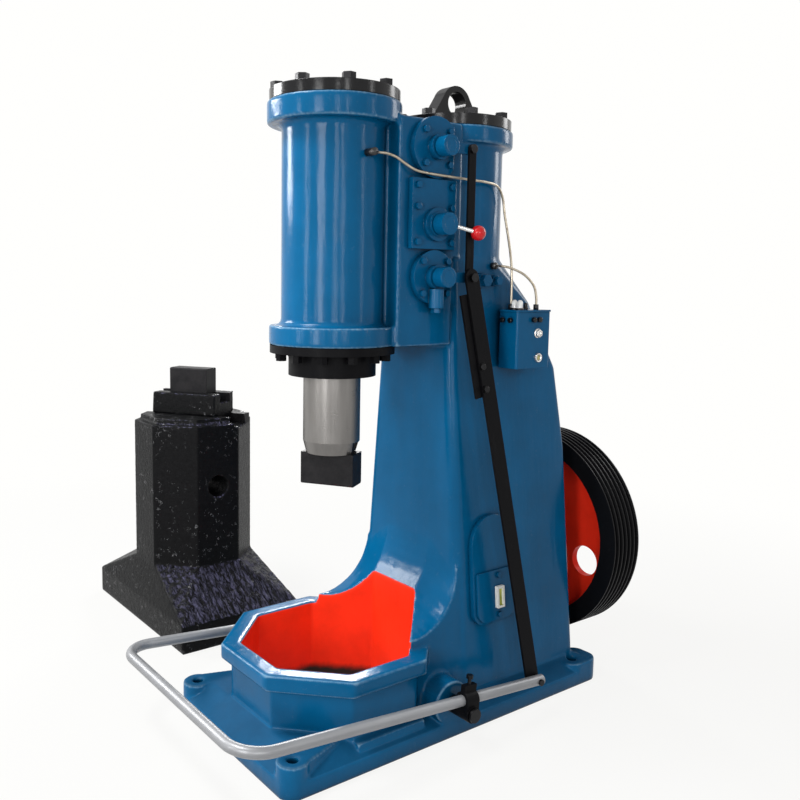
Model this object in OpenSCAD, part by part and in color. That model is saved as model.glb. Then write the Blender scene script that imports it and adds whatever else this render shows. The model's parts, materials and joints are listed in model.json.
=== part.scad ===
// Power hammer of the 250 kg class, in two pieces: the hammer and its separate anvil.
// The ram axis stands on the origin, +Z is up, the ram is at the front (-Y),
// the pulley at the back (+Y) and the valves on the right (+X). All sizes are millimetres.

/* [Base] */
// Width of the base plate
base_w = 848; // [780:1:960]
// Distance from the ram axis to the front edge of the base
base_front = 470; // [455:1:560]
// Distance from the ram axis to the back edge of the base
base_rear = 1205; // [1150:1:1300]
// Height of the upright edge of the base plate
base_edge_h = 65; // [45:1:80]
// Rounding of the base corners seen from above
base_corner_r = 60; // [30:1:70]
// Rise of the sloping top between edge and neck
slope_rise = 60; // [30:1:80]
// Run of the sloping top between edge and neck
slope_run = 95; // [60:1:110]
// Width of a rear foundation lug
lug_w = 150; // [120:1:170]
// Length of a rear foundation lug
lug_l = 190; // [150:1:220]
// Length of a front lug's tongue
lug_tongue_l = 260; // [240:1:280]
// Height of the front lugs
front_lug_h = 125; // [100:1:150]
// Height of the rear lugs
rear_lug_h = 102; // [90:1:130]
// Distance from the ram axis to the rear foundation holes
foundation_rear = 1080; // [1060:1:1110]
// Diameter of a foundation hole
foundation_d = 42; // [30:1:52]

/* [Anvil ring] */
// Height of the ring's top face above the floor
ring_top = 350; // [320:1:380]
// Opening for the anvil, across flats
opening_af = 664; // [620:1:690]
// Collar of the ring, across flats
collar_af = 815; // [780:1:830]
// Height of the collar band
collar_h = 62; // [45:1:80]
// Rounding of the collar's upright corners
collar_r = 26; // [10:1:40]
// Neck under the collar, across flats
neck_af = 738; // [720:1:760]

/* [Column] */
// Distance from the ram axis to the column's front face
column_front = 415; // [405:1:440]
// Distance from the ram axis to the column's back at the floor
column_rear = 1120; // [1100:1:1140]
// Width of the column at the floor
column_foot_w = 708; // [690:1:730]
// Height where the shoulder starts
shoulder_z = 1410; // [1390:1:1440]
// Width of the column at the shoulder
column_top_w = 474; // [460:1:490]
// Height where the column's back bends towards the shoulder
knee_z = 1050; // [1000:1:1100]
// Distance from the ram axis to the column's back at that bend
knee_rear = 1102; // [1095:1:1108]
// Distance from the ram axis to the column's back at the shoulder
shoulder_rear = 1053; // [1045:1:1060]
// Rounding of the column's front edges at the floor
column_foot_r = 40; // [30:1:50]
// Rounding of the column's front edges at the shoulder
column_top_r = 40; // [30:1:60]
// Rounding of the column's back edges
column_rear_r = 26; // [20:1:40]
// Radius of the sweep from the ring up to the column, at its sides
sweep_r = 236; // [220:1:250]
// Height of the sweep's lower end above the ring, at its sides
sweep_lift = 40; // [30:1:50]
// Radius of the sweep in its middle, behind the anvil opening
sweep_mid_r = 405; // [390:1:412]

/* [Cylinders] */
// Distance between ram axis and compressor axis
compressor_y = 605; // [595:1:620]
// Height of the cylinder block's lower face
block_bottom = 1533; // [1520:1:1545]
// Height of the cylinder block itself
block_h = 919; // [880:1:960]
// Height where the column ends under the compressor barrel
column_top = 1880; // [1860:1:1890]
// Outer diameter of the ram barrel
ram_barrel_d = 404; // [390:1:420]
// Bore of the ram barrel
ram_bore_d = 310; // [300:1:316]
// Outer diameter of the compressor barrel
compressor_barrel_d = 434; // [426:1:442]
// Bore of the compressor barrel
compressor_bore_d = 330; // [320:1:336]
// Diameter of the ram barrel's upper flange
top_flange_d = 516; // [500:1:530]
// Diameter of the ram barrel's lower flange
low_flange_d = 496; // [480:1:510]
// Diameter of the compressor barrel's flange
compressor_flange_d = 516; // [504:1:524]
// Drop of the compressor cylinder's top under the ram cylinder's
compressor_drop = 47; // [40:1:54]
// Height of the ram barrel's upper flange
top_flange_h = 86; // [70:1:95]
// Height of the compressor barrel's flange
compressor_flange_h = 70; // [60:1:80]
// Height of the lower flange
low_flange_h = 76; // [60:1:85]
// Radius of the hollow between barrel and flange
flange_hollow_r = 22; // [12:1:28]
// Width of the valve chest between the cylinders
chest_w = 460; // [450:1:470]
// Distance from the ram axis to the front of the valve chest
chest_front = 135; // [125:1:150]
// Distance from the ram axis to the back of the valve chest
chest_rear = 455; // [450:1:465]
// Height of the cylinder covers
cover_h = 42; // [30:1:50]
// Number of bolts in each cylinder cover
cover_bolts_n = 8; // [6:1:10]
// Across flats of the cover bolts
cover_bolt_af = 46; // [36:1:50]

/* [Ram] */
// Diameter of the ram
ram_d = 226; // [216:1:236]
// Height of the ram's lower end at rest
ram_low = 1107; // [1100:1:1120]
// Working stroke of the ram
ram_stroke = 290; // [250:1:292]
// Length of a die
die_l = 220; // [200:1:230]
// Width of a die
die_w = 100; // [90:1:110]
// Height of a die below or above its tenon
die_h = 128; // [120:1:134]
// Turn of the dies about the ram axis, in degrees
die_turn = 33; // [20:1:40]
// Diameter of the gland under the ram barrel
gland_d = 490; // [470:1:496]
// Height of the gland's flange
gland_flange_h = 30; // [24:1:36]
// Diameter of the gland's nose
gland_nose_d = 344; // [336:1:356]
// Height of the gland's nose
gland_nose_h = 88; // [80:1:92]

/* [Valves] */
// Distance from the ram axis to the valve axes
valve_y = 300; // [296:1:304]
// Height of the upper valve in the block, as a share of the block's height
upper_valve_share = 0.824; // [0.8:0.002:0.84]
// Height of the lower valve in the block, as a share of the block's height
lower_valve_share = 0.29; // [0.27:0.002:0.3]
// Height of the middle valve above the lower edge of its cover
middle_valve_rise = 94; // [88:1:100]
// Diameter of the valve rotors
rotor_d = 90; // [84:1:96]
// Diameter of the valve stems
stem_d = 50; // [44:1:54]
// Length of a crank arm, hub to pin
crank_l = 130; // [126:1:134]
// Length of the hand lever, hub to ball
lever_l = 145; // [138:1:152]
// Droop of the hand lever, in degrees
lever_droop = 12; // [0:1:20]
// Diameter of the ball on the hand lever
ball_d = 58; // [50:1:60]

/* [Drive] */
// Height of the crankshaft
crank_z = 600; // [590:1:610]
// Diameter of the drive pulley
pulley_d = 958; // [900:1:980]
// Width of the drive pulley
pulley_w = 172; // [160:1:190]
// Distance from the ram axis to the pulley's front
pulley_front = 1206; // [1196:1:1230]
// Number of V grooves
grooves_n = 6; // [4:1:6]
// Depth of a V groove
groove_depth = 20; // [14:1:24]
// Diameter of the main shaft
shaft_d = 110; // [100:1:114]
// Throw of the crank
crank_throw = 140; // [130:1:145]

/* [Treadle] */
// Diameter of the treadle tube
tube_d = 42; // [38:1:46]
// Wall of the treadle tube
tube_wall = 3.5; // [2.5:0.5:5]
// Distance from the base's side to the middle of a treadle arm
treadle_gap = 76; // [66:1:90]
// Distance from pivot to front bar
treadle_reach = 985; // [960:1:1000]
// Distance from pivot to the right arm's end
treadle_tail = 423; // [418:1:430]
// Bend radius of the tube's centre line
treadle_bend_r = 120; // [90:1:160]
// Slope of the treadle at rest, in degrees
treadle_slope = 5; // [4:0.5:6]
// Distance from the ram axis to the treadle pivot
pivot_y = 295; // [290:1:300]
// Height of the treadle pivot
pivot_z = 146; // [140:1:150]

/* [Anvil] */
// Offset of the anvil to the left of the ram axis
anvil_x = 1390; // [1300:1:1600]
// Offset of the anvil behind the ram axis
anvil_y = 80; // [-200:1:300]
// Anvil block, across flats
anvil_af = 565; // [540:1:600]
// Height of the anvil block
anvil_h = 1075; // [1040:1:1100]
// Width of the anvil's foot
anvil_foot_w = 1060; // [1000:1:1100]
// Length of the anvil's foot
anvil_foot_l = 650; // [620:1:680]
// Height of the upright edge of the foot
anvil_foot_edge = 135; // [110:1:160]
// Height where the foot meets the block
anvil_foot_h = 320; // [290:1:350]
// Diameter of the lifting hole through the block
lift_hole_d = 110; // [90:1:130]
// Length of the die holder
holder_l = 370; // [350:1:390]
// Width of the die holder
holder_w = 215; // [205:1:240]
// Height of the die holder
holder_h = 112; // [105:1:125]

/* [Hidden] */
// Fit and construction values
overrun = 2;
run_fit = 0.05;
loose_fit = 0.4;
seat_fit = 0.05;
hull_fn = 32;
arc_steps = 12;
$fn = 72;

// Heights that follow the block
block_top = block_bottom + block_h;
compressor_top = block_top - compressor_drop;
upper_valve_z = block_bottom + upper_valve_share * block_h;
lower_valve_z = block_bottom + lower_valve_share * block_h;

// Foundation holes, in the middle of the base's round corners
foundation_w = base_w - 2 * base_corner_r;
foundation_front = base_front - base_corner_r;

// Column walls
foot_half = column_foot_w / 2;
top_half = column_top_w / 2;
wall_lean = atan((foot_half - top_half) / (shoulder_z - overrun));
shoulder_cheek = 3;
shoulder_top_half = compressor_barrel_d / 2 + shoulder_cheek;
shoulder_mid_z = 1700;
shoulder_mid_rear = 904;
shoulder_mid_r = 60;
slab_in = 1;
sweep_back = column_front + overrun;
sweep_foot = 150;
sweep_in = 6;
sweep_steps = 12;
sweep_side_shares = [-1, -0.74, -0.46, 0.46, 0.74, 1];
sweep_lift_shares = [0, 0.5, 1, 1, 0.5, 0];
neck_low = base_edge_h / 2;
lug_turn = 18;
lug_waist = 6;
pad_in = base_w / 2 - slope_run;
pad_edge = 22;
pad_draft = 6;
pad_out = base_w / 2 - pad_edge;
pad_foot = pad_out + pad_draft;
pad_top = 112;
pad_front = 150;
pad_rear = 170;
sweep_tuck = 2 * column_foot_r;
function wall_x(z) = foot_half - (foot_half - top_half) * (z - overrun) / (shoulder_z - overrun);
function shoulder_x(z) =
    top_half - (top_half - shoulder_top_half) * (z - shoulder_z) / (column_top - shoulder_z);

// Crankcase and shaft line
case_r = 225;
case_front = 505;
case_rear = 742;
well_r = 105;
main_bearing_d = 200;
main_bearing_l = 70;
front_bearing_d = 170;
front_bearing_l = 60;
front_journal_d = 90;
crankpin_d = 92;
crankpin_l = 84;
web_t = 38;
web_w = 170;
shaft_clear = 10;
shaft_nose = 16;
bearing_boss_d = 330;
bearing_boss_l = 140;
bearing_cover_d = 300;
bearing_cover_h = 28;
bearing_bolts_n = 6;
bearing_bolt_af = 24;
bearing_bolt_h = 14;
bearing_bolt_ring = 125;
hub_d = 210;
hub_overhang = 10;
rim_in_d = 794;
web_thick = 34;
web_holes_n = 3;
web_hole_d = 140;
web_hole_ring = 285;
web_hole_turn = -22.5;
groove_land = 6;
groove_flat = 8;
pulley_key_w = 28;
pulley_key_h = 16;
end_plate_d = 150;
end_plate_h = 14;
end_bolt_af = 46;
end_bolt_h = 26;

// Side covers over the crankcase window
window_w = 190;
window_h = 320;
window_r = 60;
case_cover_w = 244;
case_cover_top = 825;
case_cover_low = 375;
case_cover_r = 58;
case_crown_flat = 2;
case_cover_t = 22;
case_cover_y = compressor_y;
sump_w = 216;
sump_top = 595;
sump_low = 386;
sump_top_r = 8;
sump_foot_r = 50;
sump_t = 10;
case_bolt_af = 22;
case_bolt_h = 10;
case_bolt_in = 22;
gauge_back = 12;
gauge_z = 483;
gauge_w = 42;
gauge_h = 90;
gauge_t = 14;
gauge_r = 3;
gauge_frame = 10;

// Ram and its guide
air_cushion = 59;
low_cushion = 95;
cover_spigot = 18;
bush_up = 92;
ram_l = block_top - cover_spigot - air_cushion - ram_stroke - ram_low;
ram_head_l = ram_low + ram_l - block_bottom - bush_up - low_cushion;
ram_r = ram_d / 2;
ram_chamfer_h = 49;
ram_chamfer_in = 13;
ram_head_d = ram_bore_d - 2 * loose_fit;
ram_head_hollow_d = 250;
ram_rod_hollow_d = 150;
ram_rod_hollow_l = 300;
ring_n = 3;
ring_h = 8;
ring_t = 10;
ring_pitch = 34;
ring_top_in = 30;
bush_d = 290;
bush_low_in = 8;
wiper_h = 18;
wiper_t = 12;
tenon_w = 56;
tenon_flare = 10;
tenon_h = 46;
tenon_l = 168;
die_key_w = 18;
die_key_l = 160;
die_edge = 6;
gland_bolts_n = 12;
gland_bolt_af = 36;
gland_bolt_h = 30;
gland_bolt_ring = 209;

// Covers of the cylinders
cover_in = 8;
cover_bolt_rim = 2;
chest_low = 6;
chest_step = 4;
cover_bolt_h = 24;
cover_rise = 12;
cover_rise_d = 300;
eye_w = 280;
eye_top_w = 160;
eye_h = 150;
eye_t = 64;
eye_hole_d = 100;
eye_hole_z = 76;
eye_foot_w = 290;
eye_foot_h = 18;
eye_foot_t = 120;
eye_slant = 25;
port_d = 56;

// Valve covers and their stems
valve_plate_t = 25;
valve_face = chest_w / 2;
plate_face = valve_face + valve_plate_t;
round_cover_r = 116;
low_cover_r = 104;
round_cover_cut = 86;
flat_cover_w = 222;
valve_cover_gap = 3;
flat_cover_top = upper_valve_z - round_cover_r - valve_cover_gap;
flat_cover_low = lower_valve_z + low_cover_r + valve_cover_gap;
middle_valve_z = flat_cover_low + middle_valve_rise;
flat_cover_shift = 8;
flat_cover_y = valve_y - flat_cover_shift;
valve_hub_d = 96;
valve_hub_l = 27;
middle_hub_d = 128;
middle_hub_l = 18;
valve_bolt_af = 24;
valve_bolt_h = 13;
round_bolt_x = 62;
flat_bolt_in = 26;
flat_bolt_shares = [-1, 0.25, 1];
rotor_past = 150;
rotor_l = valve_face + rotor_past;
rotor_cut = 34;
rotor_port_l = 110;
crank_gap = 3;
crank_in = plate_face + valve_hub_l + crank_gap;
crank_hub_d = 78;
crank_hub_l = 50;
crank_t = 18;
crank_h = 40;
crank_step = 1;
link_in = crank_in + crank_t + crank_step;
link_t = 10;
link_w = 36;
strap_step = 6;
strap_in = link_in + link_t + strap_step;
strap_t = 10;
strap_w = 68;
pin_d = 20;
pin_head_d = 34;
pin_head_l = 8;
pin_clear = 0.3;
cock_d = 60;
cock_top = 47;
cock_l = 72;
cock_x = 36;
cock_nut_af = 34;
cock_nut_l = 18;
lever_d = 16;
lever_out = 34;
lever_flare = 10;
lever_hub_d = 84;

// Strap between lower crank and treadle
treadle_w = base_w + 2 * treadle_gap;
strap_tail_x = treadle_w / 2 - tube_d / 2 - crank_step - strap_t;
tail_pin_in = 28;
tail_pin_d = 14;
tail_pin_clear = 3;
tail_head_d = 26;
tail_head_l = 9;
tube_lift = 48;
tail_y = pivot_y + (treadle_tail - tail_pin_in) * cos(treadle_slope) + tube_lift * sin(treadle_slope);
tail_z = pivot_z - (treadle_tail - tail_pin_in) * sin(treadle_slope) + tube_lift * cos(treadle_slope);
crank_pin_y = valve_y + crank_l;
strap_drop = lower_valve_z - tail_z;
strap_back = tail_y - crank_pin_y;
strap_out = strap_tail_x - strap_in;
strap_l = sqrt(strap_drop * strap_drop + strap_back * strap_back + strap_out * strap_out);
strap_lean_out = asin(strap_out / strap_l);
strap_lean_back = atan(strap_back / strap_drop);
splice_low = 470;
splice_high = 60;
splice_w = 48;
splice_shift = 42;
strap_bolts_z = [350, 440];
strap_bolt_d = 26;
strap_bolt_h = 10;

// Treadle brackets and pivots
pivot_boss_d = 172;
pivot_boss_short = 2;
pivot_boss_out = base_w / 2 - pivot_boss_short;
pivot_boss_in = 300;
pivot_d = 36;
pivot_hub_d = 66;
pivot_hub_l = 112;
pivot_gap = 3;
pivot_head_d = 54;
pivot_head_l = 10;
pivot_seat_l = 90;
clamp_d = 66;
clamp_l = 62;
clamp_lug_w = 22;
clamp_lug_h = 26;
clamp_screw_d = 14;
clamp_screw_l = 60;
clamp_screw_head = 24;
left_tail = 90;

// Lubricator and pipes
tank_x = 250;
tank_d = 106;
tank_y = 665;
tank_l = 198;
tank_z = 1432;
tank_h = 232;
tank_r = 10;
tank_lid_h = 8;
tank_lid_out = 4;
tank_bracket_y = 700;
tank_bracket_l = 70;
tank_bracket_z = 1470;
tank_bracket_h = 150;
cap_d = 26;
cap_h = 42;
knob_d = 20;
knob_l = 16;
knob_pitch = 36;
knob_drop = 32;
plug_af = 34;
plug_l = 18;
sight_d = 22;
sight_h = 70;
pipe_d = 10;
pipe_fit_d = 28;
pipe_fit_l = 48;
pipe_nut_d = 22;
pipe_nut_l = 22;
pipe_sides = 10;
pipe_steps = 4;
pipe_end_y = 4;
air_plug_d = 62;
air_plug_l = 44;
air_plug_af = 46;
air_plug_scale_shares = [1, 0.72];
air_plug_drop = 10;
air_plug_z = lower_valve_z - air_plug_drop;
air_plug_ys = [578, 648];

// Plan of the oil pipe from the tank up and forward to the ram barrel, and its rise
tank_top = tank_z + tank_h + tank_lid_h;
oil_end_drop = 42;
oil_end_z = upper_valve_z - oil_end_drop;
oil_plan = [
    [272, 712], [272, 712], [268, 712], [246, 716], [222, 712], [218, 700], [234, 650], [256, 560],
    [268, 480], [270, 400], [270, 320], [268, 240], [258, 190], [244, 150], [236, 110], [234, 70],
    [234, 40], [234, 10]];
oil_rise_shares = [
    0.03, 0.15, 0.31, 0.48, 0.67, 0.795, 0.868, 0.882,
    0.882, 0.885, 0.889, 0.896, 0.91, 0.948, 0.986, 1,
    1, 1];
oil_route = [for (i = [0:len(oil_plan) - 1])
    concat(oil_plan[i], tank_top + oil_rise_shares[i] * (oil_end_z - tank_top))];
// Route of the short pipe from the tank to the column's back
short_route = [
    [330, 800, 1690], [330, 798, 1730], [324, 786, 1774], [304, 750, 1816], [276, 700, 1842],
    [252, 664, 1850], [240, 650, 1850]];

// Shapes that repeat

module along_y(y, z, r, l) {
    translate([0, y, z]) rotate([-90, 0, 0]) cylinder(r = r, h = l);
}

module along_x(x, y, z, r, l) {
    translate([x, y, z]) rotate([0, 90, 0]) cylinder(r = r, h = l);
}

module octagon(af) {
    circle(r = af / 2 / cos(22.5), $fn = 8);
}

// Octagon with a flat facing each axis and round corners, made of arcs and flats
module round_octagon(af, r) {
    core = af - 2 * r;
    side = core * tan(22.5);
    rotate(22.5) octagon(core);
    for (turn = [0:45:315]) {
        rotate(turn) translate([0, -side / 2]) square([af / 2, side]);
        rotate(turn + 22.5) translate([core / 2 / cos(22.5), 0]) circle(r = r);
    }
}

module round_rect(w, l, r) {
    translate([-w / 2 + r, -l / 2]) square([w - 2 * r, l]);
    translate([-w / 2, -l / 2 + r]) square([w, l - 2 * r]);
    for (x = [-1, 1], y = [-1, 1]) translate([x * (w / 2 - r), y * (l / 2 - r)]) circle(r = r);
}

// Outline in the YZ plane, drawn out along X on both sides of the middle
module side_profile(points, w) {
    rotate([90, 0, 90]) translate([0, 0, -w / 2]) linear_extrude(w) polygon(points);
}

// Outline in the XZ plane, drawn out along Y from one distance to another
module front_profile(points, from, to) {
    translate([0, to, 0]) rotate([90, 0, 0]) linear_extrude(to - from) polygon(points);
}

function arc(cx, cy, r, from, to, steps) =
    [for (i = [0:steps]) let (a = from + (to - from) * i / steps) [cx + r * cos(a), cy + r * sin(a)]];

module hex(af, h) {
    cylinder(r = af / 2 / cos(30), h = h, $fn = 6);
}

// Hexagon heads round a circle about a Z axis
module hex_ring(n, ring, af, h) {
    for (i = [0:n - 1]) rotate(360 * (i + 0.5) / n) translate([ring, 0, 0]) hex(af, h);
}

// Thin slab with upright round edges, one radius in front and one behind
module plan_slab(half_w, front, rear, front_r, rear_r) {
    for (x = [-1, 1]) {
        translate([x * (half_w - front_r), front + front_r, 0])
            cylinder(r = front_r, h = overrun, $fn = hull_fn);
        translate([x * (half_w - rear_r), rear - rear_r, 0])
            cylinder(r = rear_r, h = overrun, $fn = hull_fn);
    }
}

// Places children on the leaning right wall of the column, +Z pointing out of the wall
module on_wall(y, z) {
    translate([wall_x(z), y, z]) rotate([0, 90 - wall_lean, 0]) rotate(90) children();
}

// Dovetail tenon across a die, lying along its length
module tenon_profile(extra) {
    polygon([[-tenon_w / 2 - extra, 0], [tenon_w / 2 + extra, 0],
        [tenon_w / 2 + tenon_flare + extra, tenon_h + extra],
        [-tenon_w / 2 - tenon_flare - extra, tenon_h + extra]]);
}

module tenon(l, extra) {
    rotate([90, 0, 90]) translate([0, 0, -l / 2]) linear_extrude(l) tenon_profile(extra);
}

// Room for the key beside a tenon
module key_bar(l) {
    out = tenon_w / 2 + tenon_flare + die_key_w;
    rotate([90, 0, 90]) translate([0, 0, -l / 2]) linear_extrude(l)
        polygon([[tenon_w / 2, 0], [out, 0], [out, tenon_h], [tenon_w / 2 + tenon_flare, tenon_h]]);
}

// Working block of a die with broken edges along its length
module die_block() {
    rotate([90, 0, 90]) translate([0, 0, -die_l / 2]) linear_extrude(die_l)
        polygon([[-die_w / 2, 0], [-die_w / 2, -die_h + die_edge], [-die_w / 2 + die_edge, -die_h],
            [die_w / 2 - die_edge, -die_h], [die_w / 2, -die_h + die_edge], [die_w / 2, 0]]);
}

// Centre line of a pipe, smoothed through its route
function spline(p0, p1, p2, p3, t) =
    (p1 * 2 + (p2 - p0) * t + (p0 * 2 - p1 * 5 + p2 * 4 - p3) * t * t
        + (p1 * 3 - p0 - p2 * 3 + p3) * t * t * t) / 2;

function smooth(route, steps) = [
    for (i = [0:len(route) - 2], s = [0:steps - 1])
        spline(route[max(i - 1, 0)], route[i], route[i + 1], route[min(i + 2, len(route) - 1)],
            s / steps),
    route[len(route) - 1]];

function unit(v) = v / norm(v);

// One tube swept along a route, with a side direction that turns as little as it can
module pipe(route, r) {
    path = smooth(route, pipe_steps);
    last = len(path) - 1;
    ahead = [for (i = [0:last]) unit(path[min(i + 1, last)] - path[max(i - 1, 0)])];
    sides = [for (i = 0, s = unit(cross(ahead[0], [0, 1, 0])); i <= last;
        i = i + 1, s = i > last ? s : unit(s - ahead[i] * (s * ahead[i]))) s];
    rings = [for (i = [0:last], k = [0:pipe_sides - 1])
        let (a = 360 * k / pipe_sides)
        path[i] + sides[i] * r * cos(a) + cross(ahead[i], sides[i]) * r * sin(a)];
    walls = [for (i = [0:last - 1], k = [0:pipe_sides - 1])
        let (a = i * pipe_sides + k, b = i * pipe_sides + (k + 1) % pipe_sides)
        each [[a, a + pipe_sides, b], [b, a + pipe_sides, b + pipe_sides]]];
    start = [for (k = [1:pipe_sides - 2]) [0, k, k + 1]];
    tail = last * pipe_sides;
    end = [for (k = [1:pipe_sides - 2]) [tail, tail + k + 1, tail + k]];
    polyhedron(rings, concat(start, walls, end));
}

// Frame casting: base, anvil ring, column and shoulder

module base_plate() {
    mid = (base_rear - base_front) / 2;
    half = base_w / 2;
    top = base_edge_h + slope_rise;
    intersection() {
        translate([0, mid, 0]) linear_extrude(top)
            round_rect(base_w, base_front + base_rear, base_corner_r);
        front_profile([[-half, 0], [half, 0], [half, base_edge_h], [half - slope_run, top],
            [slope_run - half, top], [-half, base_edge_h]], -base_front, base_rear);
        side_profile([[-base_front, 0], [base_rear, 0], [base_rear, base_edge_h],
            [base_rear - slope_run, top], [slope_run - base_front, top], [-base_front, base_edge_h]],
            base_w);
    }
}

// Front lug: a round end about its bolt hole, and a tongue that runs in to the neck
module front_lug(x, turn) {
    translate([x, -foundation_front, 0]) linear_extrude(front_lug_h) {
        circle(r = base_corner_r);
        rotate(turn) translate([lug_waist - base_corner_r, 0])
            square([2 * (base_corner_r - lug_waist), lug_tongue_l]);
    }
}

module lugs() {
    front_lug(foundation_w / 2, lug_turn);
    front_lug(-foundation_w / 2, -lug_turn);
    for (x = [-1, 1]) translate([x * (base_w - lug_w) / 2, base_rear - lug_l / 2, 0])
        linear_extrude(rear_lug_h) round_rect(lug_w, lug_l, base_corner_r);
}

// Flat pads on the side slopes of the base
module slope_pads() {
    for (side = [0, 1]) mirror([side, 0, 0])
        front_profile([[pad_in, neck_low], [pad_foot, neck_low], [pad_out, pad_top], [pad_in, pad_top]],
            -pad_front, pad_rear);
}

module anvil_ring() {
    translate([0, 0, neck_low]) linear_extrude(ring_top - neck_low) rotate(22.5) octagon(neck_af);
    translate([0, 0, ring_top - collar_h]) linear_extrude(collar_h) round_octagon(collar_af, collar_r);
}

// Rise of a sweep of one radius that ends upright just inside the column's front
function sweep_rise(y, r) =
    let (run = min(max(y - sweep_back + r, 0), r)) r - sqrt(r * r - run * run);

// Sweep from the ring up to the column, drawn as a grid: higher in the middle than at its sides
module sweep() {
    across = len(sweep_side_shares);
    rows = sweep_steps + 2;
    ys = concat([for (i = [0:sweep_steps])
        sweep_foot + (sweep_back - sweep_foot) * sin(90 * i / sweep_steps)], column_front + sweep_tuck);
    top = [for (y = ys, k = [0:across - 1])
        let (side = sweep_lift + sweep_rise(y, sweep_r), mid = sweep_rise(y, sweep_mid_r),
            z = ring_top + side + (max(mid, side) - side) * sweep_lift_shares[k])
        [sweep_side_shares[k] * (wall_x(z) - sweep_in), y, z]];
    foot = [for (y = ys, k = [0:across - 1])
        [sweep_side_shares[k] * (wall_x(neck_low) - sweep_in), y, neck_low]];
    low = rows * across;
    cells = [for (i = [0:rows - 2], k = [0:across - 2]) i * across + k];
    tops = [for (a = cells) each [[a, a + across, a + 1], [a + 1, a + across, a + across + 1]]];
    feet = [for (a = cells) each [[low + a, low + a + 1, low + a + across],
        [low + a + 1, low + a + across + 1, low + a + across]]];
    front = [for (k = [0:across - 2]) each [[k, k + 1, low + k], [k + 1, low + k + 1, low + k]]];
    last = (rows - 1) * across;
    back = [for (k = [0:across - 2]) each [[last + k, low + last + k, last + k + 1],
        [last + k + 1, low + last + k, low + last + k + 1]]];
    left = [for (i = [0:rows - 2]) let (a = i * across)
        each [[a, low + a, a + across], [a + across, low + a, low + a + across]]];
    right = [for (i = [0:rows - 2]) let (a = i * across + across - 1)
        each [[a, a + across, low + a], [a + across, low + a + across, low + a]]];
    polyhedron(concat(top, foot), concat(tops, feet, front, back, left, right));
}

module column_body() {
    hull() {
        plan_slab(foot_half, column_front, column_rear, column_foot_r, column_rear_r);
        translate([0, 0, knee_z - overrun])
            plan_slab(wall_x(knee_z) - slab_in, column_front, knee_rear, column_top_r, column_rear_r);
        translate([0, 0, shoulder_z - overrun])
            plan_slab(top_half, column_front, shoulder_rear, column_top_r, column_rear_r);
    }
    hull() {
        translate([0, 0, shoulder_z - overrun])
            plan_slab(top_half, column_front, shoulder_rear, column_top_r, column_rear_r);
        translate([0, 0, shoulder_mid_z - overrun])
            plan_slab(shoulder_x(shoulder_mid_z) - slab_in, column_front, shoulder_mid_rear,
                column_top_r, shoulder_mid_r);
        translate([0, 0, column_top - overrun]) {
            plan_slab(shoulder_top_half, column_front, compressor_y, column_foot_r, column_foot_r);
            intersection() {
                translate([0, compressor_y, 0])
                    cylinder(r = compressor_barrel_d / 2, h = overrun, $fn = hull_fn);
                translate([-foot_half, compressor_y, 0]) cube([2 * foot_half, compressor_y, overrun]);
            }
        }
    }
}

module pivot_bosses() {
    for (x = [-1, 1]) along_x(x > 0 ? pivot_boss_in : -pivot_boss_out, pivot_y, pivot_z,
        pivot_boss_d / 2, pivot_boss_out - pivot_boss_in);
}

module crankcase_space() {
    along_y(case_front, crank_z, case_r, case_rear - case_front);
    along_y(case_front - front_bearing_l, crank_z, front_bearing_d / 2, front_bearing_l + overrun);
    along_y(case_rear - overrun, crank_z, shaft_d / 2 + shaft_clear, column_rear - case_rear);
    along_y(column_rear - main_bearing_l, crank_z, main_bearing_d / 2, main_bearing_l + shaft_d);
    translate([0, compressor_y, crank_z]) cylinder(r = well_r, h = column_top - crank_z);
    translate([0, compressor_y, shoulder_z])
        cylinder(r = compressor_bore_d / 2, h = column_top - shoulder_z + overrun);
    on_wall(case_cover_y, (case_cover_top + case_cover_low) / 2)
        translate([0, 0, -foot_half + case_r / 2]) linear_extrude(foot_half)
            round_rect(window_w, window_h, window_r);
}

module frame() {
    color("steelblue") difference() {
        union() {
            base_plate();
            lugs();
            slope_pads();
            anvil_ring();
            sweep();
            column_body();
            pivot_bosses();
            along_y(column_rear - bearing_boss_l, crank_z, bearing_boss_d / 2, bearing_boss_l);
        }
        translate([0, 0, -overrun]) linear_extrude(ring_top + sweep_mid_r) rotate(22.5) octagon(opening_af);
        for (x = [-1, 1], y = [-foundation_front, foundation_rear])
            translate([x * foundation_w / 2, y, -overrun])
                cylinder(r = foundation_d / 2, h = front_lug_h + 2 * overrun);
        for (x = [-1, 1]) along_x(x > 0 ? pivot_boss_out - pivot_seat_l : -pivot_boss_out - overrun,
            pivot_y, pivot_z, pivot_d / 2 + seat_fit, pivot_seat_l + overrun);
        crankcase_space();
    }
}

// Cylinder block: ram barrel, compressor barrel and the valve chest between them

module barrel(r, low, flange_r, flange_low, top) {
    rotate_extrude() polygon(concat([[0, low], [r, low]],
        arc(r + flange_hollow_r, flange_low - flange_hollow_r, flange_hollow_r, 180, 90, 8),
        [[flange_r, flange_low], [flange_r, top], [0, top]]));
}

module low_flange() {
    r = low_flange_d / 2;
    top = block_bottom + low_flange_h;
    hollow = ram_barrel_d / 2 + flange_hollow_r;
    rotate_extrude() polygon(concat([[0, block_bottom], [r, block_bottom], [r, top]],
        arc(hollow, top + flange_hollow_r, flange_hollow_r, 270, 180, 8),
        [[0, top + flange_hollow_r]]));
}

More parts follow.
